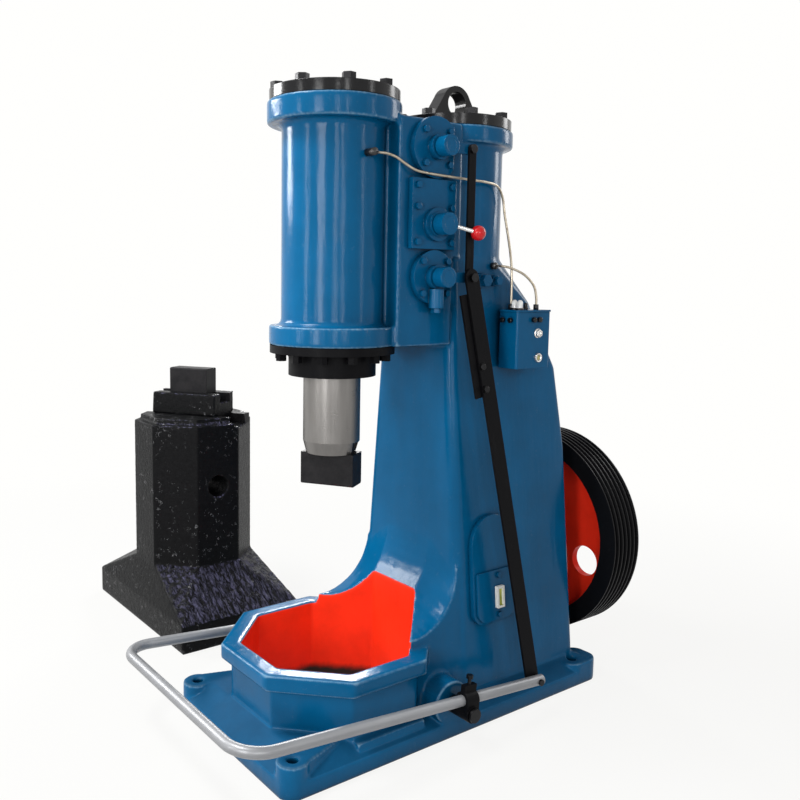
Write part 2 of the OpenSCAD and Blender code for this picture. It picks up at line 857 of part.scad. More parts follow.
module valve_chest() {
    chest_top = compressor_top - chest_low;
    translate([-chest_w / 2, chest_front, block_bottom])
        cube([chest_w, column_front - chest_front, chest_top - block_bottom]);
    translate([-chest_w / 2, chest_front, column_top])
        cube([chest_w, chest_rear - chest_front, chest_top - column_top]);
    translate([chest_step - compressor_barrel_d / 2, chest_front, column_top])
        cube([compressor_barrel_d - 2 * chest_step, compressor_y - chest_front,
            chest_top - column_top]);
}

module cylinder_block() {
    color("steelblue") difference() {
        union() {
            barrel(ram_barrel_d / 2, block_bottom, top_flange_d / 2, block_top - top_flange_h,
                block_top);
            low_flange();
            translate([0, compressor_y, 0]) barrel(compressor_barrel_d / 2, column_top,
                compressor_flange_d / 2, compressor_top - compressor_flange_h, compressor_top);
            valve_chest();
        }
        translate([0, 0, block_bottom - overrun])
            cylinder(r = ram_bore_d / 2, h = block_top - block_bottom + 2 * overrun);
        translate([0, compressor_y, column_top - overrun])
            cylinder(r = compressor_bore_d / 2, h = compressor_top - column_top + 2 * overrun);
        for (z = [upper_valve_z, middle_valve_z, lower_valve_z])
            along_x(valve_face - rotor_l, valve_y, z, rotor_d / 2 + run_fit, rotor_l + overrun);
        for (z = [upper_valve_z, middle_valve_z]) along_y(0, z, port_d / 2, compressor_y);
        along_y(0, lower_valve_z, port_d / 2, valve_y);
    }
}

module ram_cover() {
    color("dimgray") {
        translate([0, 0, block_top]) cylinder(r = top_flange_d / 2 - cover_in, h = cover_h);
        translate([0, 0, block_top + cover_h]) cylinder(r = cover_rise_d / 2, h = cover_rise);
        translate([0, 0, block_top - cover_spigot])
            cylinder(r = ram_bore_d / 2 - seat_fit, h = cover_spigot);
    }
}

// Bolt heads just inside the edge of a cover
module cover_bolt_ring(flange_d) {
    ring = flange_d / 2 - cover_in - cover_bolt_af / 2 / cos(30) - cover_bolt_rim;
    hex_ring(cover_bolts_n, ring, cover_bolt_af, cover_bolt_h);
}

module ram_cover_bolts() {
    color("gray") translate([0, 0, block_top + cover_h])
        cover_bolt_ring(top_flange_d);
}

module compressor_cover() {
    color("dimgray") translate([0, compressor_y, 0]) {
        translate([0, 0, compressor_top])
            cylinder(r = compressor_flange_d / 2 - cover_in, h = cover_h);
        translate([0, 0, compressor_top - cover_spigot])
            cylinder(r = compressor_bore_d / 2 - seat_fit, h = cover_spigot);
    }
}

module compressor_cover_bolts() {
    color("gray") translate([0, compressor_y, compressor_top + cover_h])
        cover_bolt_ring(compressor_flange_d);
}

module lifting_eye() {
    crown = eye_top_w / 2;
    color("dimgray") translate([0, compressor_y, compressor_top + cover_h]) difference() {
        union() {
            side_profile(concat([[-eye_w / 2, 0], [eye_w / 2, 0]],
                arc(0, eye_h - crown, crown, eye_slant, 180 - eye_slant, arc_steps)), eye_t);
            translate([-eye_foot_t / 2, -eye_foot_w / 2, 0]) cube([eye_foot_t, eye_foot_w, eye_foot_h]);
        }
        along_x(-eye_t, 0, eye_hole_z, eye_hole_d / 2, 2 * eye_t);
    }
}

// Ram, gland and guide

module gland() {
    color("dimgray") difference() {
        union() {
            translate([0, 0, block_bottom - gland_flange_h])
                cylinder(r = gland_d / 2, h = gland_flange_h);
            translate([0, 0, block_bottom - gland_flange_h - gland_nose_h])
                cylinder(r = gland_nose_d / 2, h = gland_nose_h);
        }
        translate([0, 0, block_bottom - gland_flange_h - gland_nose_h - overrun])
            cylinder(r = ram_r + wiper_t, h = bush_low_in + wiper_h + overrun);
        translate([0, 0, block_bottom - gland_flange_h - gland_nose_h + bush_low_in + wiper_h])
            cylinder(r = bush_d / 2 + seat_fit, h = gland_flange_h + gland_nose_h);
    }
}

module gland_bolts() {
    color("gray") translate([0, 0, block_bottom - gland_flange_h - gland_bolt_h])
        hex_ring(gland_bolts_n, gland_bolt_ring, gland_bolt_af, gland_bolt_h);
}

module wiper_ring() {
    color("black") translate([0, 0, block_bottom - gland_flange_h - gland_nose_h + bush_low_in])
        difference() {
            cylinder(r = ram_r + wiper_t - seat_fit, h = wiper_h);
            translate([0, 0, -overrun]) cylinder(r = ram_r + run_fit, h = wiper_h + 2 * overrun);
        }
}

module guide_bush() {
    low = block_bottom - gland_flange_h - gland_nose_h + bush_low_in + wiper_h;
    color("darkgoldenrod") difference() {
        union() {
            translate([0, 0, low]) cylinder(r = bush_d / 2, h = block_bottom + bush_up - low);
            translate([0, 0, block_bottom]) cylinder(r = ram_bore_d / 2 - seat_fit, h = bush_up);
        }
        translate([0, 0, low - overrun]) cylinder(r = ram_r + run_fit, h = ram_l);
    }
}

module ring_grooves(r, top, depth, grow) {
    for (i = [0:ring_n - 1]) translate([0, 0, top - ring_top_in - i * ring_pitch]) difference() {
        translate([0, 0, -ring_h - grow]) cylinder(r = r, h = ring_h + 2 * grow);
        translate([0, 0, -ring_h - grow - overrun])
            cylinder(r = r - depth, h = ring_h + 2 * grow + 2 * overrun);
    }
}

module ram() {
    top = ram_low + ram_l;
    head = top - ram_head_l;
    color("silver") difference() {
        union() {
            translate([0, 0, ram_low])
                cylinder(r1 = ram_r - ram_chamfer_in, r2 = ram_r, h = ram_chamfer_h);
            translate([0, 0, ram_low + ram_chamfer_h])
                cylinder(r = ram_r, h = head - ram_low - ram_chamfer_h);
            translate([0, 0, head]) cylinder(r = ram_head_d / 2, h = ram_head_l);
        }
        translate([0, 0, head + overrun]) cylinder(r = ram_head_hollow_d / 2, h = ram_head_l);
        translate([0, 0, head - ram_rod_hollow_l])
            cylinder(r = ram_rod_hollow_d / 2, h = ram_rod_hollow_l + 2 * overrun);
        ring_grooves(ram_bore_d / 2, top, ring_t, 0);
        translate([0, 0, ram_low]) rotate(die_turn) {
            translate([0, 0, -overrun]) tenon(ram_bore_d, 0);
            tenon(ram_bore_d, 0);
            translate([0, 0, -overrun]) key_bar(ram_bore_d);
            key_bar(ram_bore_d);
        }
    }
}

module ram_piston_rings() {
    color("dimgray") ring_grooves(ram_bore_d / 2 - run_fit, ram_low + ram_l, ring_t - run_fit, 0);
}

module upper_die() {
    color("dimgray") translate([0, 0, ram_low]) rotate(die_turn) {
        die_block();
        tenon(tenon_l, 0);
    }
}

module upper_die_key() {
    color("slategray") translate([0, 0, ram_low]) rotate(die_turn) key_bar(die_key_l);
}

// Compressor piston

piston_l = 300;
piston_top_gap = 16;
piston_low = compressor_top - cover_spigot - piston_top_gap - 2 * crank_throw - piston_l;
piston_crown = 60;
piston_wall = 22;
piston_wrist_d = 70;

module compressor_piston() {
    r = compressor_bore_d / 2 - loose_fit;
    color("silver") translate([0, compressor_y, piston_low]) difference() {
        cylinder(r = r, h = piston_l);
        translate([0, 0, -overrun])
            cylinder(r = r - piston_wall - ring_t, h = piston_l - piston_crown + overrun);
        along_x(-compressor_bore_d, 0, (piston_l - piston_crown) / 2, piston_wrist_d / 2,
            2 * compressor_bore_d);
        ring_grooves(compressor_bore_d / 2, piston_l, ring_t, 0);
    }
}

module compressor_rings() {
    color("dimgray") translate([0, compressor_y, piston_low])
        ring_grooves(compressor_bore_d / 2 - run_fit, piston_l, ring_t - run_fit, 0);
}

// Crankshaft and pulley

pulley_rear = pulley_front + pulley_w;
shaft_end = pulley_rear + hub_overhang;
main_bore_r = shaft_d / 2;

module crank_web(y) {
    translate([0, y, crank_z]) rotate([-90, 0, 0]) linear_extrude(web_t) {
        circle(r = web_w / 2);
        translate([0, crank_throw]) circle(r = crankpin_d / 2 + web_t / 2);
        translate([-crankpin_d / 2, 0]) square([crankpin_d, crank_throw]);
    }
}

module crankshaft() {
    pin_front = compressor_y - crankpin_l / 2;
    pin_rear = compressor_y + crankpin_l / 2;
    front = case_front - front_bearing_l + shaft_nose;
    color("silver") difference() {
        union() {
            along_y(front, crank_z, front_journal_d / 2, pin_front - front);
            crank_web(pin_front - web_t);
            along_y(pin_front, crank_z - crank_throw, crankpin_d / 2, crankpin_l);
            crank_web(pin_rear);
            along_y(pin_rear, crank_z, main_bore_r, shaft_end - pin_rear);
        }
        translate([-pulley_key_w / 2, pulley_front, crank_z + main_bore_r - pulley_key_h / 2])
            cube([pulley_key_w, pulley_w, pulley_key_h]);
    }
}

module bearing(y, l, d, bore_r) {
    translate([0, y, crank_z]) rotate([-90, 0, 0]) difference() {
        cylinder(r = d / 2 - seat_fit, h = l);
        translate([0, 0, -overrun]) cylinder(r = bore_r + run_fit, h = l + 2 * overrun);
    }
}

module front_bearing() {
    color("darkgoldenrod")
        bearing(case_front - front_bearing_l, front_bearing_l, front_bearing_d, front_journal_d / 2);
}

module main_bearing() {
    color("darkgoldenrod")
        bearing(column_rear - main_bearing_l, main_bearing_l, main_bearing_d, main_bore_r);
}

module bearing_cover() {
    color("steelblue") translate([0, column_rear, crank_z]) rotate([-90, 0, 0]) difference() {
        cylinder(r = bearing_cover_d / 2, h = bearing_cover_h);
        translate([0, 0, -overrun])
            cylinder(r = main_bore_r + loose_fit, h = bearing_cover_h + 2 * overrun);
    }
}

module bearing_cover_bolts() {
    color("gray") translate([0, column_rear + bearing_cover_h, crank_z]) rotate([-90, 0, 0])
        hex_ring(bearing_bolts_n, bearing_bolt_ring, bearing_bolt_af, bearing_bolt_h);
}

// Half outline of the rim with its V grooves, radius against width
function groove(i, pitch) =
    let (low = groove_land + i * pitch, r = pulley_d / 2,
        slant = (pitch - groove_land - groove_flat) / 2)
    [[r, low], [r - groove_depth, low + slant], [r - groove_depth, low + slant + groove_flat],
        [r, low + 2 * slant + groove_flat]];

module drive_pulley() {
    pitch = (pulley_w - groove_land) / grooves_n;
    mid = (pulley_w - web_thick) / 2;
    grooves = [for (i = [0:grooves_n - 1]) each groove(i, pitch)];
    color("firebrick") translate([0, pulley_front, crank_z]) rotate([-90, 0, 0]) difference() {
        union() {
            rotate_extrude() polygon(concat([[rim_in_d / 2, 0], [pulley_d / 2, 0]], grooves,
                [[pulley_d / 2, pulley_w], [rim_in_d / 2, pulley_w]]));
            translate([0, 0, mid]) cylinder(r = rim_in_d / 2 + overrun, h = web_thick);
            translate([0, 0, -hub_overhang]) cylinder(r = hub_d / 2, h = pulley_w + 2 * hub_overhang);
        }
        translate([0, 0, -hub_overhang - overrun])
            cylinder(r = main_bore_r + seat_fit, h = pulley_w + 2 * hub_overhang + 2 * overrun);
        for (i = [0:web_holes_n - 1]) rotate(-web_hole_turn + 360 * i / web_holes_n)
            translate([web_hole_ring, 0, mid - overrun])
                cylinder(r = web_hole_d / 2, h = web_thick + 2 * overrun);
        translate([-pulley_key_w / 2, -main_bore_r - pulley_key_h / 2, -hub_overhang - overrun])
            cube([pulley_key_w, pulley_key_h, pulley_w + 2 * hub_overhang + 2 * overrun]);
    }
}

module pulley_key() {
    color("silver")
        translate([-pulley_key_w / 2, pulley_front, crank_z + main_bore_r - pulley_key_h / 2])
            cube([pulley_key_w, pulley_w, pulley_key_h]);
}

module pulley_end_plate() {
    color("gray") translate([0, shaft_end, crank_z]) rotate([-90, 0, 0]) {
        cylinder(r = end_plate_d / 2, h = end_plate_h);
        translate([0, 0, end_plate_h]) hex(end_bolt_af, end_bolt_h);
    }
}

// Valve covers, rotors and cranks

// Child drawn flat, set on a face that looks along +X, its own +Y upwards
module on_face(x, y, z) {
    translate([x, y, z]) rotate([90, 0, 90]) children();
}

module round_cover(z, r) {
    on_face(valve_face, valve_y, z) difference() {
        union() {
            linear_extrude(valve_plate_t) intersection() {
                circle(r = r);
                translate([-r, -r]) square([r + round_cover_cut, 2 * r]);
            }
            cylinder(r = valve_hub_d / 2, h = valve_plate_t + valve_hub_l);
        }
        translate([0, 0, -overrun])
            cylinder(r = stem_d / 2 + run_fit, h = valve_plate_t + valve_hub_l + 2 * overrun);
    }
}

module upper_valve_cover() {
    color("steelblue") round_cover(upper_valve_z, round_cover_r);
}

module lower_valve_cover() {
    cock_low = lower_valve_z - cock_top - cock_l;
    color("steelblue") {
        round_cover(lower_valve_z, low_cover_r);
        difference() {
            translate([valve_face + cock_x, valve_y, cock_low])
                cylinder(r = cock_d / 2, h = cock_l + overrun);
            translate([0, valve_y - cock_d, cock_low - overrun])
                cube([valve_face, 2 * cock_d, cock_l + 3 * overrun]);
        }
        translate([valve_face + cock_x, valve_y, cock_low - cock_nut_l]) hex(cock_nut_af, cock_nut_l);
    }
}

module middle_valve_cover() {
    h = flat_cover_top - flat_cover_low;
    stem_out = valve_plate_t + valve_hub_l;
    color("steelblue") difference() {
        union() {
            translate([valve_face, flat_cover_y - flat_cover_w / 2, flat_cover_low])
                cube([valve_plate_t, flat_cover_w, h]);
            on_face(valve_face, valve_y, middle_valve_z) {
                cylinder(r = middle_hub_d / 2, h = valve_plate_t + middle_hub_l);
                cylinder(r = valve_hub_d / 2, h = stem_out);
            }
        }
        on_face(valve_face, valve_y, middle_valve_z) translate([0, 0, -overrun])
            cylinder(r = stem_d / 2 + run_fit, h = stem_out + 2 * overrun);
    }
}

module valve_cover_bolts() {
    h = flat_cover_top - flat_cover_low;
    rise = h / 2 - flat_bolt_in;
    color("gray") {
        for (z = [upper_valve_z, lower_valve_z], x = [-1, 1], y = [-1, 1])
            on_face(plate_face, valve_y + x * round_bolt_x, z + y * round_bolt_x)
                hex(valve_bolt_af, valve_bolt_h);
        for (x = [-1, 1], y = flat_bolt_shares)
            on_face(plate_face, flat_cover_y + x * (flat_cover_w / 2 - flat_bolt_in),
                flat_cover_low + h / 2 + y * rise) hex(valve_bolt_af, valve_bolt_h);
    }
}

// Turning plug with a port cut across it and a stem through the cover
module rotor(z, stem_l) {
    along_x(valve_face - rotor_l + loose_fit, valve_y, z, stem_d / 2, rotor_l + stem_l - loose_fit);
    difference() {
        along_x(valve_face - rotor_l + loose_fit, valve_y, z, rotor_d / 2, rotor_l - 2 * loose_fit);
        for (side = [-1, 1])
            translate([-rotor_port_l / 2, valve_y - rotor_d,
                z + side * (rotor_d + rotor_cut) / 2 - rotor_cut])
                cube([rotor_port_l, 2 * rotor_d, 2 * rotor_cut]);
    }
}

stem_out_l = crank_in + crank_hub_l - valve_face;

module upper_valve_rotor() {
    color("silver") rotor(upper_valve_z, stem_out_l);
}

module middle_valve_rotor() {
    color("silver") rotor(middle_valve_z, stem_out_l);
}

module lower_valve_rotor() {
    color("silver") rotor(lower_valve_z, stem_out_l);
}

module crank_arm(z) {
    on_face(crank_in, valve_y, z) difference() {
        union() {
            cylinder(r = crank_hub_d / 2, h = crank_hub_l);
            translate([0, -crank_h / 2, 0]) cube([crank_l, crank_h, crank_t]);
            translate([crank_l, 0, 0]) cylinder(r = crank_h / 2, h = crank_t);
        }
        translate([0, 0, -overrun]) cylinder(r = stem_d / 2 + seat_fit, h = crank_hub_l + 2 * overrun);
        translate([crank_l, 0, -overrun]) cylinder(r = pin_d / 2 + seat_fit, h = crank_t + 2 * overrun);
    }
}

module upper_crank_arm() {
    color("steelblue") crank_arm(upper_valve_z);
}

module lower_crank_arm() {
    color("steelblue") crank_arm(lower_valve_z);
}

module link_pin(z, out) {
    along_x(crank_in, crank_pin_y, z, pin_d / 2, out + crank_step - crank_in);
    along_x(out + crank_step, crank_pin_y, z, pin_head_d / 2, pin_head_l);
}

module upper_link_pin() {
    color("dimgray") link_pin(upper_valve_z, link_in + link_t);
}

module lower_link_pin() {
    color("dimgray") link_pin(lower_valve_z, strap_in + strap_t + strap_lean_room);
}

strap_lean_room = strap_w * tan(strap_lean_out);

module link_rod() {
    span = upper_valve_z - lower_valve_z;
    color("dimgray") on_face(link_in, crank_pin_y, lower_valve_z) difference() {
        union() {
            translate([-link_w / 2, 0, 0]) cube([link_w, span, link_t]);
            for (end = [0, span]) translate([0, end, 0]) cylinder(r = link_w / 2, h = link_t);
        }
        for (end = [0, span]) translate([0, end, -overrun])
            cylinder(r = pin_d / 2 + pin_clear, h = link_t + 2 * overrun);
    }
}

// Drawn hanging straight down from the crank pin, then leaned out to the treadle
module lean_strap() {
    translate([strap_in, crank_pin_y, lower_valve_z]) rotate([strap_lean_back, 0, 0])
        rotate([0, -strap_lean_out, 0]) children();
}

module strap() {
    color("dimgray") lean_strap() rotate([90, 0, 90]) difference() {
        union() {
            translate([-strap_w / 2, -strap_l, 0]) cube([strap_w, strap_l, strap_t]);
            for (end = [0, -strap_l]) translate([0, end, 0]) cylinder(r = strap_w / 2, h = strap_t);
        }
        rotate([0, -strap_lean_out, 0]) translate([0, 0, -strap_w])
            cylinder(r = pin_d / 2 + tail_pin_clear, h = 2 * strap_w);
        translate([0, -strap_l, -overrun])
            cylinder(r = tail_pin_d / 2 + tail_pin_clear, h = strap_t + 2 * overrun);
    }
}

module strap_splice() {
    color("dimgray") lean_strap() translate([-strap_t, -splice_shift - splice_w / 2, -splice_low])
        cube([strap_t, splice_w, splice_low - splice_high]);
}

module strap_bolts() {
    color("gray") lean_strap() for (z = strap_bolts_z)
        translate([strap_t, -splice_shift / 2, -z]) rotate([0, 90, 0])
            cylinder(r = strap_bolt_d / 2, h = strap_bolt_h);
}

module hand_lever() {
    color("silver") on_face(crank_in, valve_y, middle_valve_z) difference() {
        union() {
            cylinder(r = lever_hub_d / 2, h = crank_hub_l);
            rotate(-lever_droop) translate([0, 0, lever_out]) rotate([0, 90 - lever_flare, 0])
                cylinder(r = lever_d / 2, h = lever_l);
        }
        translate([0, 0, -overrun]) cylinder(r = stem_d / 2 + seat_fit, h = crank_hub_l + 2 * overrun);
    }
}

module lever_ball() {
    color("red") on_face(crank_in, valve_y, middle_valve_z) rotate(-lever_droop)
        translate([0, 0, lever_out]) rotate([0, 90 - lever_flare, 0]) difference() {
            translate([0, 0, lever_l]) sphere(r = ball_d / 2);
            cylinder(r = lever_d / 2 + seat_fit, h = lever_l);
        }
}

// Treadle

module in_treadle() {
    translate([0, pivot_y, pivot_z]) rotate([-treadle_slope, 0, 0]) children();
}

module treadle_line(r, extra) {
    half = treadle_w / 2;
    bend_y = treadle_bend_r - treadle_reach;
    translate([half, bend_y, 0]) rotate([-90, 0, 0]) cylinder(r = r, h = treadle_tail - bend_y + extra);
    translate([-half, bend_y, 0]) rotate([-90, 0, 0]) cylinder(r = r, h = left_tail - bend_y + extra);
    translate([treadle_bend_r - half, -treadle_reach, 0]) rotate([0, 90, 0])
        cylinder(r = r, h = treadle_w - 2 * treadle_bend_r);
    translate([half - treadle_bend_r, bend_y, 0]) rotate(-90)
        rotate_extrude(angle = 90) translate([treadle_bend_r, 0]) circle(r = r);
    translate([treadle_bend_r - half, bend_y, 0]) rotate(180)
        rotate_extrude(angle = 90) translate([treadle_bend_r, 0]) circle(r = r);
}

module tail_hole(r, from, l) {
    translate([from, treadle_tail - tail_pin_in, tube_lift]) rotate([0, 90, 0]) cylinder(r = r, h = l);
}

module treadle_tube() {
    color("silver") in_treadle() difference() {
        translate([0, 0, tube_lift]) treadle_line(tube_d / 2, 0);
        translate([0, 0, tube_lift]) treadle_line(tube_d / 2 - tube_wall, overrun);
        tail_hole(tail_pin_d / 2 + seat_fit, treadle_w / 2 - tube_d, 2 * tube_d);
    }
}

module bracket() {
    hub_in = pivot_boss_out + pivot_gap;
    half = treadle_w / 2;
    difference() {
        union() {
            translate([hub_in, 0, 0]) rotate([0, 90, 0]) cylinder(r = pivot_hub_d / 2, h = pivot_hub_l);
            translate([half, -clamp_l / 2, tube_lift]) rotate([-90, 0, 0])
                cylinder(r = clamp_d / 2, h = clamp_l);
            translate([half - clamp_d / 2, -clamp_l / 2, 0]) cube([clamp_d, clamp_l, tube_lift]);
            translate([half - clamp_lug_w / 2, -clamp_l / 2, tube_lift])
                cube([clamp_lug_w, clamp_l, clamp_d / 2 + clamp_lug_h]);
        }
        translate([hub_in - overrun, 0, 0]) rotate([0, 90, 0])
            cylinder(r = pivot_d / 2 + run_fit, h = pivot_hub_l + 2 * overrun);
        translate([half, -clamp_l, tube_lift]) rotate([-90, 0, 0])
            cylinder(r = tube_d / 2 + seat_fit, h = 2 * clamp_l);
        translate([half, 0, tube_lift])
            cylinder(r = clamp_screw_d / 2 + seat_fit, h = clamp_d + clamp_lug_h);
    }
}

module treadle_brackets() {
    color("dimgray") in_treadle() {
        bracket();
        mirror([1, 0, 0]) bracket();
    }
}

module clamp_screws() {
    color("gray") in_treadle() for (x = [-1, 1])
        translate([x * treadle_w / 2, 0, tube_lift + tube_d / 2 + loose_fit]) {
            cylinder(r = clamp_screw_d / 2, h = clamp_screw_l);
            translate([0, 0, clamp_screw_l]) hex(clamp_screw_head, clamp_screw_d);
        }
}

module tail_bolt() {
    out = treadle_w / 2 + tube_d / 2;
    inner = strap_tail_x - strap_step;
    color("gray") in_treadle() {
        tail_hole(tail_pin_d / 2, inner, out - inner);
        tail_hole(tail_head_d / 2, out, tail_head_l);
        tail_hole(tail_head_d / 2, inner - tail_head_l, tail_head_l);
    }
}

module pivot_pins() {
    hub_out = pivot_boss_out + pivot_gap + pivot_hub_l + pivot_gap;
    from = pivot_boss_out - pivot_seat_l;
    color("gray") for (side = [0, 1]) mirror([side, 0, 0]) {
        along_x(from, pivot_y, pivot_z, pivot_d / 2, hub_out - from);
        along_x(hub_out, pivot_y, pivot_z, pivot_head_d / 2, pivot_head_l);
    }
}

// Side covers, gauge and lubricator

// Upright plate whose upper and lower corners have their own rounding
module door(w, h, top_r, foot_r) {
    translate([-w / 2, foot_r - h / 2]) square([w, h - top_r - foot_r]);
    translate([top_r - w / 2, h / 2 - top_r]) square([w - 2 * top_r, top_r]);
    translate([foot_r - w / 2, -h / 2]) square([w - 2 * foot_r, foot_r]);
    for (x = [-1, 1]) {
        translate([x * (w / 2 - top_r), h / 2 - top_r]) circle(r = top_r);
        translate([x * (w / 2 - foot_r), foot_r - h / 2]) circle(r = foot_r);
    }
}

module crankcase_cover() {
    color("steelblue") on_wall(case_cover_y, (case_cover_low + case_cover_top) / 2)
        translate([0, 0, seat_fit]) linear_extrude(case_cover_t - seat_fit)
            door(case_cover_w, case_cover_top - case_cover_low, case_cover_w / 2 - case_crown_flat,
                case_cover_r);
}

module sump_cover() {
    color("steelblue") on_wall(case_cover_y, (sump_low + sump_top) / 2)
        translate([0, 0, case_cover_t]) linear_extrude(sump_t)
            door(sump_w, sump_top - sump_low, sump_top_r, sump_foot_r);
}

module case_cover_bolts() {
    color("steelblue") for (z = [sump_low + case_bolt_in, sump_top - case_bolt_in])
        on_wall(case_cover_y + gauge_back, z) translate([0, 0, case_cover_t + sump_t])
            hex(case_bolt_af, case_bolt_h);
}

module oil_gauge() {
    color("yellowgreen") on_wall(case_cover_y + gauge_back, gauge_z)
        translate([0, 0, case_cover_t + sump_t]) {
            linear_extrude(gauge_t / 2) round_rect(gauge_w, gauge_h, gauge_r);
            linear_extrude(gauge_t) difference() {
                round_rect(gauge_w, gauge_h, gauge_r);
                round_rect(gauge_w - 2 * gauge_frame, gauge_h - 2 * gauge_frame, gauge_r);
            }
        }
}

module lubricator_tank() {
    low = tank_bracket_z;
    high = tank_bracket_z + tank_bracket_h;
    color("steelblue") {
        translate([tank_x + tank_d / 2, tank_y + tank_l / 2, tank_z]) linear_extrude(tank_h)
            round_rect(tank_d, tank_l, tank_r);
        front_profile([[shoulder_x(low) + loose_fit, low], [tank_x + overrun, low],
            [tank_x + overrun, high], [shoulder_x(high) + loose_fit, high]],
            tank_bracket_y, tank_bracket_y + tank_bracket_l);
    }
}

module lubricator_lid() {
    color("steelblue") translate([tank_x + tank_d / 2, tank_y + tank_l / 2, tank_z + tank_h])
        linear_extrude(tank_lid_h)
            round_rect(tank_d + 2 * tank_lid_out, tank_l + 2 * tank_lid_out, tank_r + tank_lid_out);
}

cap_shares = [[0.46, 0.2, 1], [0.74, 0.2, 1], [0.26, 0.66, 0.8]];
tank_plug_shares = [[0.6, 0.66], [0.63, 0.2]];

module lubricator_fittings() {
    out = tank_x + tank_d;
    color("gray") {
        for (cap = cap_shares) translate([tank_x + cap[0] * tank_d, tank_y + cap[1] * tank_l, tank_top])
            cylinder(r = cap_d / 2 * cap[2], h = cap_h);
        for (plug = tank_plug_shares)
            on_face(out, tank_y + plug[0] * tank_l, tank_z + plug[1] * tank_h) hex(plug_af, plug_l);
        for (y = [-1, 0, 1])
            on_face(out, tank_y + tank_l / 2 + y * knob_pitch, tank_z + tank_h - knob_drop)
                cylinder(r = knob_d / 2, h = knob_l);
        translate([tank_x + tank_d / 2, tank_y + tank_l + sight_d / 2, tank_z + (tank_h - sight_h) / 2])
            cylinder(r = sight_d / 2, h = sight_h);
    }
}

module oil_pipes() {
    ram_end = oil_route[len(oil_route) - 1];
    wall_end = short_route[len(short_route) - 1];
    wall = shoulder_x(wall_end[2]) + loose_fit;
    color("tan") {
        pipe(oil_route, pipe_d / 2);
        pipe(short_route, pipe_d / 2);
        along_x(ram_barrel_d / 2 + loose_fit, pipe_end_y, ram_end[2], pipe_fit_d / 2, pipe_fit_l);
        along_x(wall, wall_end[1], wall_end[2], pipe_fit_d / 2, wall_end[0] - wall);
        for (foot = [oil_route[0], short_route[0]])
            translate([foot[0], foot[1], tank_top]) cylinder(r = pipe_nut_d / 2, h = pipe_nut_l);
    }
}

module air_plugs() {
    color("steelblue") {
        for (i = [0, 1])
            on_face(shoulder_x(air_plug_z - air_plug_d / 2) + seat_fit, air_plug_ys[i], air_plug_z) {
                cylinder(r = air_plug_d / 2 * air_plug_scale_shares[i], h = air_plug_l / 2);
                hex(air_plug_af * air_plug_scale_shares[i], air_plug_l);
            }
    }
}

// Anvil

module at_anvil() {
    translate([-anvil_x, anvil_y, 0]) children();
}

holder_slot_h = 50;
holder_key = 44;
holder_tenon_w = 120;
holder_tenon_flare = 14;
anvil_bevel = 30;
lift_hole_share = 0.54;

module holder_tenon(l) {
    half = holder_tenon_w / 2;
    rotate([90, 0, 90]) translate([0, 0, -l / 2]) linear_extrude(l)
        polygon([[-half, 0], [half, 0], [half + holder_tenon_flare, -holder_slot_h],
            [-half - holder_tenon_flare, -holder_slot_h]]);
}

module holder_key_bar(l) {
    half = holder_tenon_w / 2;
    out = half + holder_tenon_flare + holder_key;
    rotate([90, 0, 90]) translate([0, 0, -l / 2]) linear_extrude(l)
        polygon([[half, 0], [out, 0], [out, -holder_slot_h],
            [half + holder_tenon_flare, -holder_slot_h]]);
}

module anvil_block() {
    lift_z = anvil_foot_h + lift_hole_share * (anvil_h - anvil_foot_h);
    color("dimgray") at_anvil() difference() {
        union() {
            hull() {
                translate([-anvil_foot_w / 2, -anvil_foot_l / 2, 0])
                    cube([anvil_foot_w, anvil_foot_l, anvil_foot_edge]);
                translate([0, 0, anvil_foot_h - overrun]) linear_extrude(overrun)
                    rotate(22.5) octagon(anvil_af - 2 * overrun);
            }
            linear_extrude(anvil_h - anvil_bevel) rotate(22.5) octagon(anvil_af);
            linear_extrude(anvil_h) rotate(22.5) octagon(anvil_af - 2 * anvil_bevel);
        }
        along_x(-anvil_foot_w, 0, lift_z, lift_hole_d / 2, 2 * anvil_foot_w);
        translate([0, 0, anvil_h]) rotate(die_turn) {
            holder_tenon(anvil_foot_w);
            holder_key_bar(anvil_foot_w);
        }
    }
}

module die_holder() {
    half = holder_w / 2;
    color("dimgray") at_anvil() translate([0, 0, anvil_h]) rotate(die_turn) difference() {
        union() {
            rotate([90, 0, 90]) translate([0, 0, -holder_l / 2]) linear_extrude(holder_l)
                polygon([[-half, 0], [half, 0], [half - die_edge, holder_h],
                    [die_edge - half, holder_h]]);
            holder_tenon(holder_l);
        }
        translate([0, 0, holder_h]) mirror([0, 0, 1]) {
            tenon(2 * holder_l, 0);
            key_bar(2 * holder_l);
        }
    }
}

module anvil_keys() {
    color("slategray") at_anvil() rotate(die_turn) {
        translate([0, 0, anvil_h]) holder_key_bar(holder_l + 4 * holder_key);
        translate([0, 0, anvil_h + holder_h]) mirror([0, 0, 1]) key_bar(holder_l + 2 * die_key_w);
    }
}

module lower_die() {
    color("dimgray") at_anvil() translate([0, 0, anvil_h + holder_h]) rotate(die_turn)
        mirror([0, 0, 1]) {
            die_block();
            tenon(die_l, 0);
        }
}

